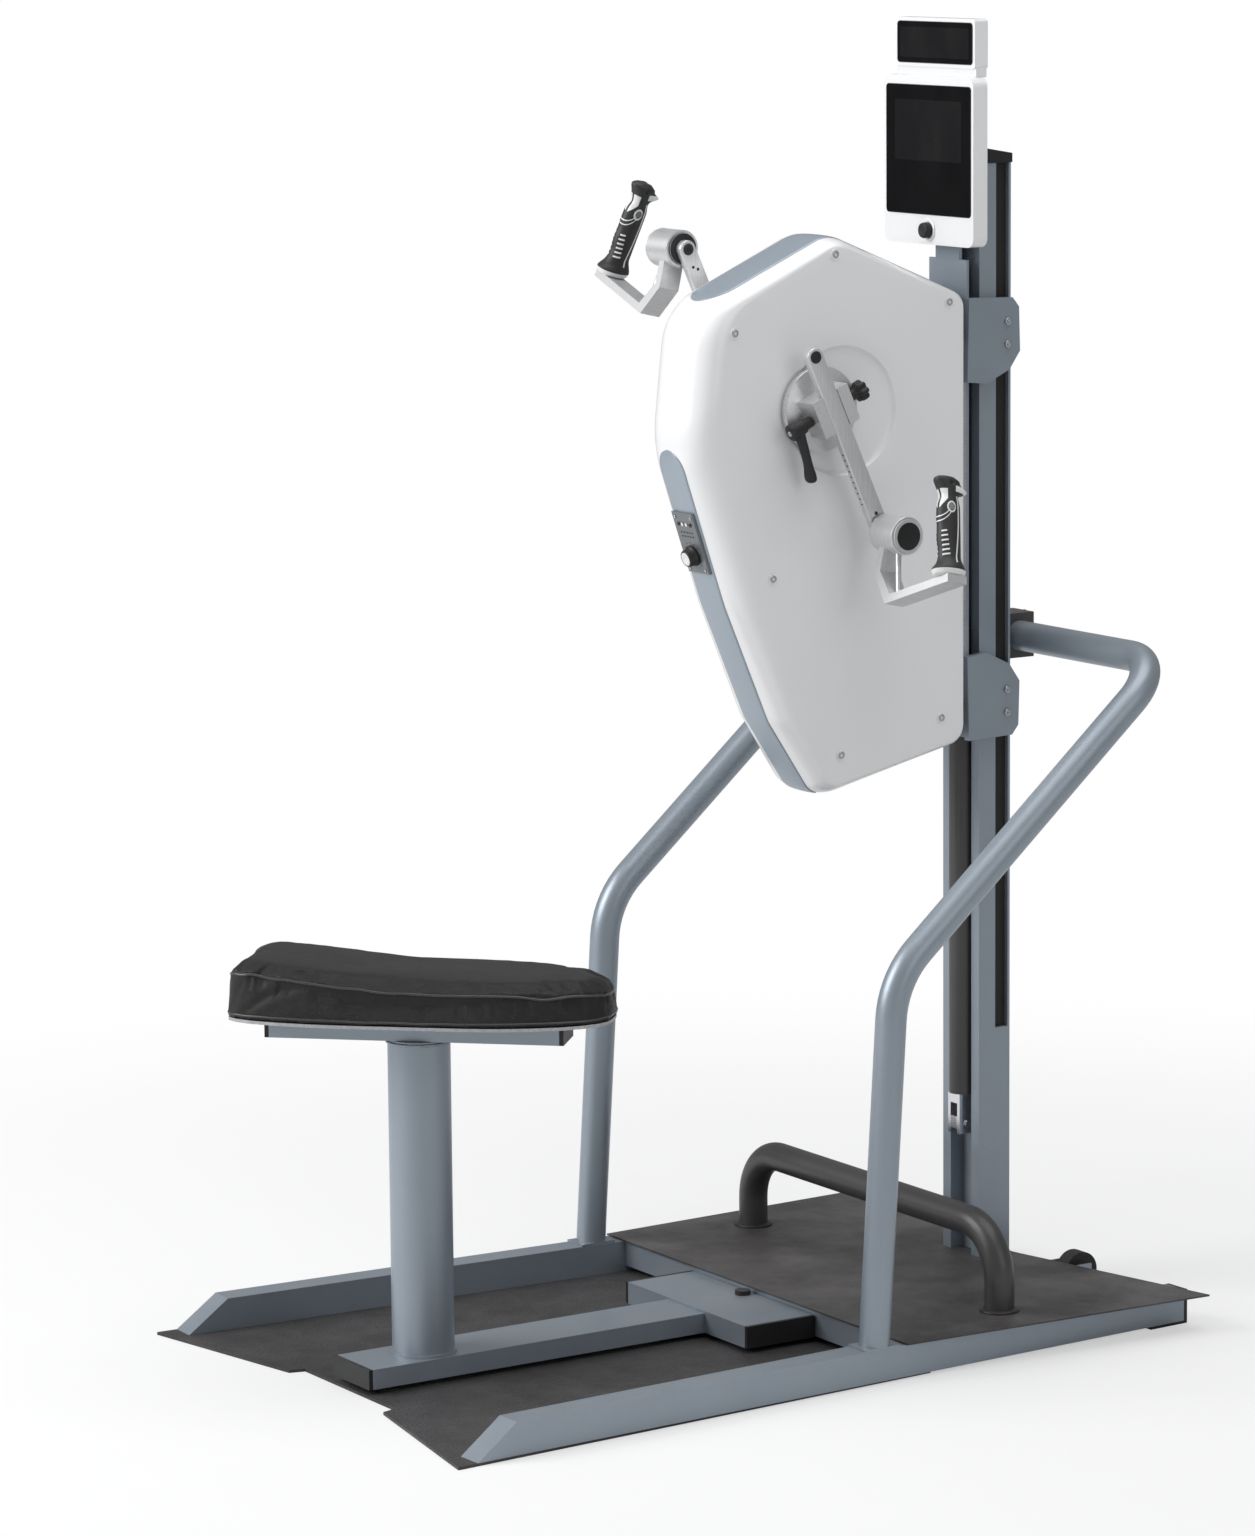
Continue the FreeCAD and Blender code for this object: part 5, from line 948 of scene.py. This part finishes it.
def clamp_lever(side):
    """Lever: a collared hub along its screw and an arm whose oval section narrows, then swells
    to a round tip; the arm bends gently away from the bar."""
    node = "clamp_lever_%s" % side
    centre, axis = joint_spot("clamp_lever_%s_turn" % side)
    points = mesh_points(frame["nodes"][node].data) - centre
    reach = points @ axis
    outer = reach[np.abs(reach).argmax()]
    sign = math.copysign(1, outer)
    radial = points - reach[:, None] * axis
    far = radial[np.linalg.norm(radial, axis=1).argmax()]
    arm, length = unit(far), np.linalg.norm(far)
    out = sign * axis
    directions = facing(out, arm)
    end = abs(outer)
    hub = [(0.0032, 0.0315), (0.0062, 0.0315), (0.0075, 0.033), (0.0078, end - 0.026),
           (0.0102, end - 0.024), (0.0108, end - 0.0215), (0.0106, end - 0.007),
           (0.0118, end - 0.0055), (0.0123, end - 0.003), (0.0118, end - 0.001),
           (0.0098, end), (0.0006, end + 0.0004)]
    head = turned_piece("lever_hub_%s" % side, hub, centre, directions, node,
                        "black_plastic", BLACK, 48)
    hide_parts(node)
    share = np.linspace(0, 1, 46)
    middle = end - 0.0135
    path = (centre + out * (middle + 0.0075 * share ** 2)[:, None]
            + arm * (0.004 + (length - 0.0045) * share)[:, None])
    width = 0.0068 + 0.0022 * np.exp(-((share - 0.88) / 0.15) ** 2) + 0.0024 * (1 - share) ** 4
    close = np.sqrt(np.clip(1 - ((share - 0.93) / 0.07).clip(0, 1) ** 2, 0.0004, 1))
    rings = swept_rings(path, 1.0, False, 26, np.cross(arm, out)) - path[:, None]
    flat = (rings @ out)[..., None] * out
    wide = rings - flat
    rings = path[:, None] + (wide * 1.12 + flat * 0.84) * (width * close)[:, None, None]
    faces = [face[::-1] for face in capped_faces(len(path), 26)]
    grip = make_piece("lever_arm_%s" % side, rings.reshape(-1, 3), faces, node,
                      BLACK)
    fix_outward(grip)
    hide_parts(node)
    socket_screw("lever_screw_%s" % side, centre + out * (end + 0.0002), out, 0.004, 0.0012,
                 node, "black_plastic", SCREW, 24)


def star_knob(side):
    """Knob with seven rounded lobes and a sunk face on a plain neck."""
    node = "star_knob_%s" % side
    centre, axis = joint_spot("star_knob_%s_turn" % side)
    low, high = span_along(node, centre, axis)
    out = axis if high > -low else -axis
    end = max(high, -low)
    profile = [(0.0032, 0.0318), (0.0066, 0.0318), (0.0072, 0.033), (0.0072, end - 0.018),
               (0.0095, end - 0.0155), (0.0135, end - 0.0135), (0.0148, end - 0.0115),
               (0.015, end - 0.006), (0.0146, end - 0.0022), (0.0132, end - 0.0004),
               (0.0105, end), (0.0068, end - 0.0002), (0.006, end - 0.0016),
               (0.0004, end - 0.0018)]

    def lobes(angles):
        """Factor that dents the rim between seven lobes."""
        factor = np.ones((len(profile), 112))
        factor[4:11] = 1 - 0.09 * (1 - np.cos(7 * angles)) ** 1.5
        return factor

    knob = turned_piece("star_knob_head_%s" % side, profile, centre, facing(out, X_AXIS), node,
                        "black_plastic", BLACK, 112, lobes)
    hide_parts(node)


# Housing, panel and display

# Depth of the column's middle, then the housing's rear, depth, foot, height, half width.
COLUMN = 0.5215
REAR, DEPTH = COLUMN - 0.0623, 0.4732
FOOT, HEIGHT = 0.743, 0.782
HOUSING_HALF = 0.066
# Corners of the housing's side view, as shares of depth and height, each with its rounding:
# first the outline in the middle plane, then the rim of the flat side face.
OUTLINE = [(0, 0.885, 0.019), (0.46, 1, 0.05), (0.925, 0.878, 0.09), (0.972, 0.63, 0.16),
           (0.819, 0.359, 0.284), (0.667, 0.1445, 0.08), (0.509, 0.001, 0.03),
           (0, 0.075, 0.026)]
SIDE_FACE = [(0.022, 0.87, 0.02), (0.46, 0.98, 0.05), (0.835, 0.868, 0.08),
             (0.866, 0.69, 0.25), (0.727, 0.359, 0.284), (0.6, 0.155, 0.08),
             (0.492, 0.03, 0.03), (0.022, 0.09, 0.026)]
# Places of the side screws, as shares of depth and height, as on the solids.
SIDE_SCREWS = [(0.473, 0.965), (0.069, 0.87), (0.822, 0.838), (0.695, 0.404), (0.098, 0.127),
               (0.458, 0.079)]
# Heights of the brackets' screws, with their distance from the middle and their depth.
BRACKET_SCREWS = (1.39091, 1.35897, 0.87114, 0.83867)
BRACKET_SIDE, BRACKET_DEPTH = 0.0557, 0.53385
# Powers of the superellipse: over the width, and from the outline to the side face.
FLATNESS, FALL = 2.6, 2.3
# The dish round the crank: reach in front of the column's middle, height and radius.
DISH_REACH, DISH_HEIGHT, DISH = 0.275, 1.283, 0.0905


def rounded_loop(corners, arc=14, line=12):
    """Closed loop of Y and Z: straight runs joined by arcs, each corner with its own radius."""
    spots = np.array([[REAR - back * DEPTH, FOOT + up * HEIGHT] for back, up, _ in corners])
    arcs, ends = [], []
    for index, (_, _, radius) in enumerate(corners):
        spot = spots[index]
        before = unit(spots[index - 1] - spot)
        after = unit(spots[(index + 1) % len(corners)] - spot)
        half = math.acos(np.clip(np.dot(before, after), -1, 1)) / 2
        reach = radius / math.tan(half)
        centre = spot + unit(before + after) * radius / math.sin(half)
        first, last = spot + before * reach, spot + after * reach
        from_angle = math.atan2(*(first - centre)[::-1])
        turn = math.atan2(*(last - centre)[::-1]) - from_angle
        turn = (turn + math.pi) % (2 * math.pi) - math.pi
        angles = from_angle + turn * np.linspace(0, 1, arc)
        ends.append((first, last))
        arcs.append(centre + radius * np.stack([np.cos(angles), np.sin(angles)], -1))
    share = np.linspace(0, 1, line + 2)[1:-1, None]
    runs = []
    for index, (_, last) in enumerate(ends):
        following = ends[(index + 1) % len(ends)][0]
        runs += [arcs[index], last + (following - last) * share]
    return np.concatenate(runs)


OUTER_LOOP, INNER_LOOP = rounded_loop(OUTLINE), rounded_loop(SIDE_FACE)


def flank_share(across):
    """How far the surface has gone from the outline to the side face, at a share of the half
    width: a superellipse, flat in the middle and round towards the side."""
    return 1 - np.clip(1 - np.abs(across) ** FLATNESS, 0, 1) ** (1 / FALL)


def housing_shell():
    """Both shells as one closed skin. From the outline the rings follow a superellipse to the
    side face, run flat to a circle round the crank and sink into a shallow dish there."""
    turn = np.linspace(0, np.pi / 2, 18)
    across = np.sin(turn) ** (2 / FLATNESS)
    rings = []
    for share in across:
        plan = OUTER_LOOP + (INNER_LOOP - OUTER_LOOP) * flank_share(share)
        rings.append(np.column_stack([np.full(len(plan), HOUSING_HALF * share), plan]))
    centre = np.array([COLUMN - DISH_REACH, DISH_HEIGHT])
    away = INNER_LOOP - centre
    angles = np.arctan2(away[:, 1], away[:, 0])
    circle = np.stack([np.cos(angles), np.sin(angles)], -1)
    for share in np.linspace(0, 1, 7)[1:]:
        plan = INNER_LOOP + (centre + DISH * circle - INNER_LOOP) * share
        rings.append(np.column_stack([np.full(len(plan), HOUSING_HALF), plan]))
    for radius, sunk in ((0.0898, 0.0002), (0.0888, 0.0012), (0.087, 0.0029),
                         (0.0855, 0.0039), (0.0835, 0.0044), (0.075, 0.0046),
                         (0.06, 0.0046), (0.03, 0.0046), (0.0125, 0.0046)):
        plan = centre + radius * circle
        rings.append(np.column_stack([np.full(len(plan), HOUSING_HALF - sunk), plan]))
    right = np.array(rings)
    left = right[:0:-1] * [-1, 1, 1]
    piece = ring_piece("housing_shell", np.concatenate([left, right]), "carriage",
                       SHELL)
    fix_outward(piece)
    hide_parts("housing_right", "housing_left")
    return piece


def nearest_on_outline(back, up):
    """Number of the outline's point that lies nearest to a share of depth and of height."""
    spot = np.array([REAR - back * DEPTH, FOOT + up * HEIGHT])
    return int(np.linalg.norm(OUTER_LOOP - spot, axis=1).argmin())


def band_piece(name, first, last, half, tip, lift, material, rows=120, columns=25):
    """Inlaid band that follows the housing's surface along the outline between two corners.
    Its first end is round over a tip length, and it stands a little proud of the surface."""
    start, stop = nearest_on_outline(*first), nearest_on_outline(*last)
    step = 1 if stop >= start else -1
    indices = np.arange(start, stop + step, step)
    outer, inner = OUTER_LOOP[indices], INNER_LOOP[indices]
    reach = np.concatenate([[0], np.cumsum(np.linalg.norm(np.diff(outer, axis=0), axis=1))])
    stops = np.concatenate([tip * np.linspace(0, 1, 24) ** 2,
                            np.linspace(tip, reach[-1], rows - 24 + 1)[1:]])
    outer = np.stack([np.interp(stops, reach, outer[:, axis]) for axis in (0, 1)], -1)
    inner = np.stack([np.interp(stops, reach, inner[:, axis]) for axis in (0, 1)], -1)
    along = np.gradient(outer, axis=0)
    outward = np.stack([along[:, 1], -along[:, 0]], -1)
    outward = outward / np.linalg.norm(outward, axis=1, keepdims=True)
    middle = OUTER_LOOP.mean(0)
    if np.dot(outward[0], outer[0] - middle) < 0:
        outward = -outward
    width = half * np.sqrt(np.clip(1 - (1 - np.clip(stops / tip, 0, 1)) ** 2, 0.0005, 1))
    side = np.linspace(-1, 1, columns)
    x = width[:, None] * side
    share = flank_share(x / HOUSING_HALF)[..., None]
    surface = outer[:, None] + (inner - outer)[:, None] * share
    slope = 1 - 0.35 * (np.abs(side) > 0.97)[None, :, None]
    top = surface + outward[:, None] * lift * slope
    under = surface - outward[:, None] * 0.0012
    top = np.concatenate([x[..., None], top], -1)
    under = np.concatenate([x[..., None], under], -1)[:, ::-1]
    piece = ring_piece(name, np.concatenate([top, under], 1), "carriage", material)
    fix_outward(piece)
    return piece


def surface_spot(piece, start, direction):
    """Where a straight look meets a piece's mesh, and the surface's normal there."""
    place, normal, _, _ = mesh_tree(piece.data).ray_cast(Vector(start), Vector(direction))
    return np.array(place), np.array(normal)


def housing_details(shell):
    """Grey bands, side screws in cups, the brackets' screws and the shaft's seals."""
    top = band_piece("top_band", (0.873, 0.893), (0.1, 0.91), 0.038, 0.036, 0.0012,
                     TRIM)
    nose = band_piece("nose_band", (0.97, 0.636), (0.5, 0.002), 0.0298, 0.034, 0.0012,
                      TRIM)
    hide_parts("housing_trims")
    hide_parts("housing_trims")
    for index, (back, up) in enumerate(SIDE_SCREWS):
        for side, sign in SIDES:
            start = [sign * 0.2, REAR - back * DEPTH, FOOT + up * HEIGHT]
            spot, out = surface_spot(shell, start, -sign * X_AXIS)
            out = out * sign * np.sign(out[0])
            cup = [(0.0050, 0.0001), (0.0072, -0.0006), (0.0079, 0.0002), (0.0081, 0.0008),
                   (0.0076, 0.0014), (0.0062, 0.0014), (0.0054, 0.0008)]
            turned_piece("screw_cup_%s_%d" % (side, index), cup, spot, facing(out, Z_AXIS),
                         "carriage", "white_shell", SHELL, 36)
            head = socket_screw("side_screw_%s_%d" % (side, index), spot, out, 0.0052, 0.0019,
                                "carriage", "steel", SCREW, 36)
            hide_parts("housing_screws")
    for index, z in enumerate(BRACKET_SCREWS):
        for side, sign in SIDES:
            spot = np.array([sign * BRACKET_SIDE, BRACKET_DEPTH, z])
            head = socket_screw("bracket_screw_%s_%d" % (side, index), spot, sign * X_AXIS,
                                0.0052, 0.0038, "carriage", "steel", SCREW, 36)
            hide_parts("housing_screws")
    centre = joint_spot("crank_spin")[0]
    for side, sign in SIDES:
        ring = [(0.0142, 0.0592), (0.0242, 0.0592), (0.0262, 0.0604), (0.0268, 0.062),
                (0.0262, 0.0632), (0.0242, 0.0638), (0.0142, 0.0638)]
        turned_piece("shaft_seal_%s" % side, ring, centre * [0, 1, 1],
                     facing(sign * X_AXIS, Z_AXIS), "carriage", "black_plastic", BLACK, 72)


def crank_details():
    """Turned rim of each crank disc."""
    centre = joint_spot("crank_spin")[0] * [0, 1, 1]
    for side, sign in SIDES:
        edge = [(0.0572, 0.0699), (0.0584, 0.0703), (0.0589, 0.0712), (0.0589, 0.0788),
                (0.0584, 0.0797), (0.0572, 0.0801)]
        turned_piece("disc_rim_%s" % side, edge, centre, facing(sign * X_AXIS, Z_AXIS),
                     "cranks", "aluminium", CLAMP_METAL, 96)


def panel_knob(centre, directions, top):
    """Knob with a plain skirt, a ribbed wall over it and a pale face."""
    profile = [(0.0132, top - 0.0139), (0.0148, top - 0.0137), (0.015, top - 0.0125),
               (0.015, top - 0.0105), (0.0143, top - 0.0097), (0.0128, top - 0.009),
               (0.0122, top - 0.0015), (0.0112, top - 0.0002), (0.0098, top),
               (0.0092, top - 0.0005), (0.0004, top - 0.0005)]

    def ribbed(angles):
        """Factor that gives the wall fine ribs."""
        factor = np.ones((len(profile), 144))
        factor[5:8] = 1 - 0.022 * (1 + np.cos(24 * angles)) / 2
        return factor

    knob = turned_piece("speed_knob", profile, centre, directions, "control_knob",
                        "black_plastic", BLACK, 144, ribbed)
    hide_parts("control_knob")
    face = [(0.0094, top - 0.0007), (0.0097, top - 0.0002), (0.0092, top + 0.0002),
            (0.0062, top + 0.0003), (0.0056, top), (0.0004, top)]
    turned_piece("speed_knob_face", face, centre, directions, "control_knob", "panel_grey",
                 INLAY, 64)


def panel_details():
    """The panel's knob, the ticks round it, four small lamps, ten dots and four screws."""
    centre, axis = joint_spot("control_knob_turn")
    low, high = span_along("control_knob", centre, axis)
    out = axis if axis[1] < 0 else -axis
    top = high if axis[1] < 0 else -low
    directions = facing(out, Z_AXIS)
    up, aside, _ = directions
    panel_knob(centre, directions, top)
    plate = centre + out * (top - 0.0142)
    finish = ("carriage", "panel_grey")
    for step in range(11):
        turn = math.radians(-135 + 27 * step)
        beam = math.cos(turn) * up + math.sin(turn) * aside
        marks("speed_tick_%d" % step, [plate + out * 0.0001 + beam * 0.0188], beam,
              np.cross(out, beam), out, 0.0026, 0.0006, 0.0002, *finish, INK)
    for index in range(4):
        turned_piece("panel_lamp_%d" % index, rounded_profile(0.0027, 0, 0.0012, 0.0005),
                     plate + up * 0.046 + aside * (index - 1.5) * 0.0095, directions, *finish,
                     INLAY if index % 3 else INK, 20)
    dots = [plate + up * (0.028 + 0.006 * row) + aside * (column - 2) * 0.0065
            for row in range(2) for column in range(5)]
    marks("panel_dots", dots, up, aside, out, 0.0019, 0.0019, 0.0004, *finish, INK)
    corners = ((0.056, 0.019), (0.056, -0.019), (-0.021, 0.019), (-0.021, -0.019))
    for index, (rise, side) in enumerate(corners):
        socket_screw("panel_screw_%d" % index, plate + up * rise + aside * side, out, 0.0024,
                     0.001, *finish, SCREW, 24)


def pane_front(z):
    """Depth of the front pane at a height, found by a look from the rider's side."""
    return surface_spot(frame["nodes"]["display_glass"], (0.03, -2, z), Y_AXIS)[0][1]


def display_details():
    """Thin screen areas on the panes, rims round them, the upper case's foot, and the dial
    with its collar."""
    body, slot = "display", "black_glass"
    panes = (("main_screen", 0.079, 1.615, 1.699, 1.63), ("top_screen", 0.0815, 1.757, 1.799,
                                                         1.778))
    for name, half, bottom, top, middle in panes:
        outline = rounded_outline(half, bottom, top, 0.003, pane_front(middle) + 0.00005)
        slab_piece(name, outline, -Y_AXIS, 0.00025, body, SCREEN, 0.0001)
    for name, half, bottom, top, middle in (("main_pane_rim", 0.1003, 1.5407, 1.7193, 1.63),
                                            ("top_pane_rim", 0.0888, 1.7497, 1.8063, 1.778)):
        path = rounded_outline(half, bottom, top, 0.005, pane_front(middle) + 0.0009, 8)
        swept_piece(name, path, 0.0007, True, body, INK, 8, up=Y_AXIS)
    outline = rounded_outline(0.0935, 1.7322, 1.7472, 0.002, 0.4705)
    slab_piece("top_case_foot", outline, -Y_AXIS, 0.0185, body, SHELL, 0.0012)
    centre, _ = joint_spot("display_dial_turn")
    end = max(span_along("display_dial", centre, -Y_AXIS))
    directions = facing(-Y_AXIS, Z_AXIS)
    profile = [(0.0095, end - 0.0108), (0.0108, end - 0.0104), (0.011, end - 0.009),
               (0.0108, end - 0.0025), (0.0102, end - 0.0006), (0.0088, end),
               (0.0075, end - 0.0003), (0.0004, end - 0.0009)]

    def ribbed(angles):
        """Factor that gives the wall fine ribs."""
        factor = np.ones((len(profile), 128))
        factor[1:5] = 1 - 0.03 * (1 + np.cos(32 * angles)) / 2
        return factor

    dial = turned_piece("menu_dial", profile, centre, directions, "display_dial",
                        "black_plastic", BLACK, 128, ribbed)
    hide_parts("display_dial")
    collar = [(0.0112, 0.0002), (0.0152, 0.0002), (0.016, 0.0008), (0.0156, 0.0014),
              (0.0118, 0.0016), (0.0112, 0.0008)]
    case = np.array([centre[0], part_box("display_case")[0].y, centre[2]])
    turned_piece("dial_collar", collar, case, directions, "display", "white_shell", SHELL, 64)


# Frame details

def weld_beads():
    """Fillet welds: rings whose thickness swells in regular beats, as a weld's ripples do."""
    post = np.array([SEAT_SPOT[0], SEAT_SPOT[1], 0.0387])
    path = circle_path(post, Z_AXIS, 0.0433, 220)
    ripple = 0.0024 + 0.0004 * np.cos(np.arange(220) * 2 * np.pi * 40 / 220)
    swept_piece("post_foot_weld", path, ripple, True, "seat_frame", PAINT, 8)
    path = circle_path(post + [0, 0, 0.4303], Z_AXIS, 0.0433, 220)
    swept_piece("post_head_weld", path, ripple * 0.8, True, "seat_frame",
                PAINT, 8)


def rail_details():
    """Collars round the footrest's feet."""
    low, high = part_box("footrest_tube")
    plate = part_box("platform_plate")[1].z
    for side, x in (("right", high.x - 0.021), ("left", low.x + 0.021)):
        spot = np.array([x, (low.y + high.y) / 2, plate])
        collar = [(0.0212, -0.001), (0.0272, -0.0008), (0.028, 0.0008), (0.0262, 0.003),
                  (0.0228, 0.0044), (0.0213, 0.0046)]
        turned_piece("footrest_collar_%s" % side, collar, spot, facing(Z_AXIS, X_AXIS), "base",
                     "foot_rubber", BLACK, 64)


PAD = seat_pad()
seat_piping(PAD)
seat_base()
SHELL_PIECE = housing_shell()
for SIDE, SIGN in SIDES:
    grip_form(SIDE)
    barrel_ends(SIDE, SIGN)
    bar_details(SIDE, SIGN)
    clamp_lever(SIDE)
    star_knob(SIDE)
housing_details(SHELL_PIECE)
crank_details()
panel_details()
display_details()
weld_beads()
rail_details()


# Floor, light and camera

def studio_floor():
    """Pale floor, which goes over to the white background with its distance."""
    reach = 60.0
    corners = [(-reach, -reach, 0), (reach, -reach, 0), (reach, reach, 0), (-reach, reach, 0)]
    mesh = bpy.data.meshes.new("studio_floor")
    mesh.from_pydata(corners, [], [(0, 1, 2, 3)])
    floor = bpy.data.objects.new("studio_floor", mesh)
    bpy.context.scene.collection.objects.link(floor)
    material, tree, shader = start_material("studio_floor_finish", (0.86, 0.86, 0.86), 0.7)
    grain = use_group(tree, "grain", object_vector(tree), Scale=60.0, Depth=0.00001)
    tree.links.new(blend_colours(tree, grain["Mottle"], (0.85, 0.85, 0.85), (0.87, 0.87, 0.87)),
                   shader.inputs["Base Color"])
    away = add(tree, "ShaderNodeVectorMath", operation="LENGTH", Vector=object_vector(tree))
    far = add(tree, "ShaderNodeMapRange", clamp=True, interpolation_type="SMOOTHSTEP",
              From_Min=0.9, From_Max=2.6, To_Min=0.5, Value=away.outputs["Value"])
    seen = add(tree, "ShaderNodeLightPath").outputs["Is Camera Ray"]
    glow = add(tree, "ShaderNodeEmission", Color=(1, 1, 1, 1), Strength=1.0)
    fade_shaders(tree, product(tree, far.outputs["Result"], seen), shader.outputs["BSDF"],
                 glow.outputs["Emission"], tree.nodes["Material Output"])
    mesh.materials.append(material)
    return floor


def fade_shaders(tree, share, first, second, output):
    """Goes from one shader to another with a share, into an output node's surface."""
    fade = add(tree, "ShaderNodeMixShader", Fac=share)
    tree.links.new(first, fade.inputs[1])
    tree.links.new(second, fade.inputs[2])
    tree.links.new(fade.outputs["Shader"], output.inputs["Surface"])


def studio_world():
    """White background for straight looks, soft pale surroundings otherwise."""
    world = bpy.data.worlds.new("studio")
    bpy.context.scene.world = world
    world.use_nodes = True
    tree = world.node_tree
    tree.nodes.clear()
    soft = add(tree, "ShaderNodeBackground", Color=(0.95, 0.97, 1.0, 1), Strength=0.3)
    white = add(tree, "ShaderNodeBackground", Color=(1, 1, 1, 1), Strength=1.0)
    looks = add(tree, "ShaderNodeLightPath").outputs["Is Camera Ray"]
    fade_shaders(tree, looks, soft.outputs["Background"], white.outputs["Background"],
                 add(tree, "ShaderNodeOutputWorld"))


def area_lamp(name, place, target, width, height, power):
    """Soft lamp with a rectangular face, turned to a target."""
    light = bpy.data.lights.new(name, "AREA")
    light.shape, light.size, light.size_y, light.energy = "RECTANGLE", width, height, power
    lamp = bpy.data.objects.new(name, light)
    bpy.context.scene.collection.objects.link(lamp)
    lamp.location = place
    lamp.rotation_euler = (Vector(target) - Vector(place)).to_track_quat("-Z", "Y").to_euler()
    return lamp


def studio_camera():
    """Camera of the picture: its direction, roll, lens and place."""
    azimuth, pitch, roll = (math.radians(angle) for angle in (57.567, 9.1135, -0.5211))
    forward = np.array([-math.sin(azimuth) * math.cos(pitch),
                        math.cos(azimuth) * math.cos(pitch), -math.sin(pitch)])
    level = np.array([math.cos(azimuth), math.sin(azimuth), 0])
    high = np.cross(level, forward)
    right = math.cos(roll) * level + math.sin(roll) * high
    up = math.cos(roll) * high - math.sin(roll) * level
    data = bpy.data.cameras.new("picture_camera")
    data.sensor_fit, data.sensor_height, data.sensor_width = "VERTICAL", 36, 36
    data.lens, data.clip_end = 134.25, 200
    camera = bpy.data.objects.new("picture_camera", data)
    bpy.context.scene.collection.objects.link(camera)
    matrix = np.eye(4)
    matrix[:3, 0], matrix[:3, 1], matrix[:3, 2] = right, up, -forward
    matrix[:3, 3] = (6.5203, -4.2095, 2.0467)
    camera.matrix_world = Matrix(matrix.tolist())
    bpy.context.scene.camera = camera
    return camera


dress_nodes()
FLOOR = studio_floor()
studio_world()
LAMPS = [
    area_lamp("front_softbox", (-1.8, -4.2, 3.2), (0, 0, 0.8), 3.2, 3.2, 235),
    area_lamp("top_softbox", (0.5, 0.3, 4.6), (0, 0, 0.7), 3.6, 3.6, 95),
    area_lamp("side_softbox", (4.6, 0.6, 2.4), (0, 0, 0.9), 2.4, 2.8, 27),
]
CAMERA = studio_camera()
bpy.context.scene.view_settings.view_transform = "Standard"
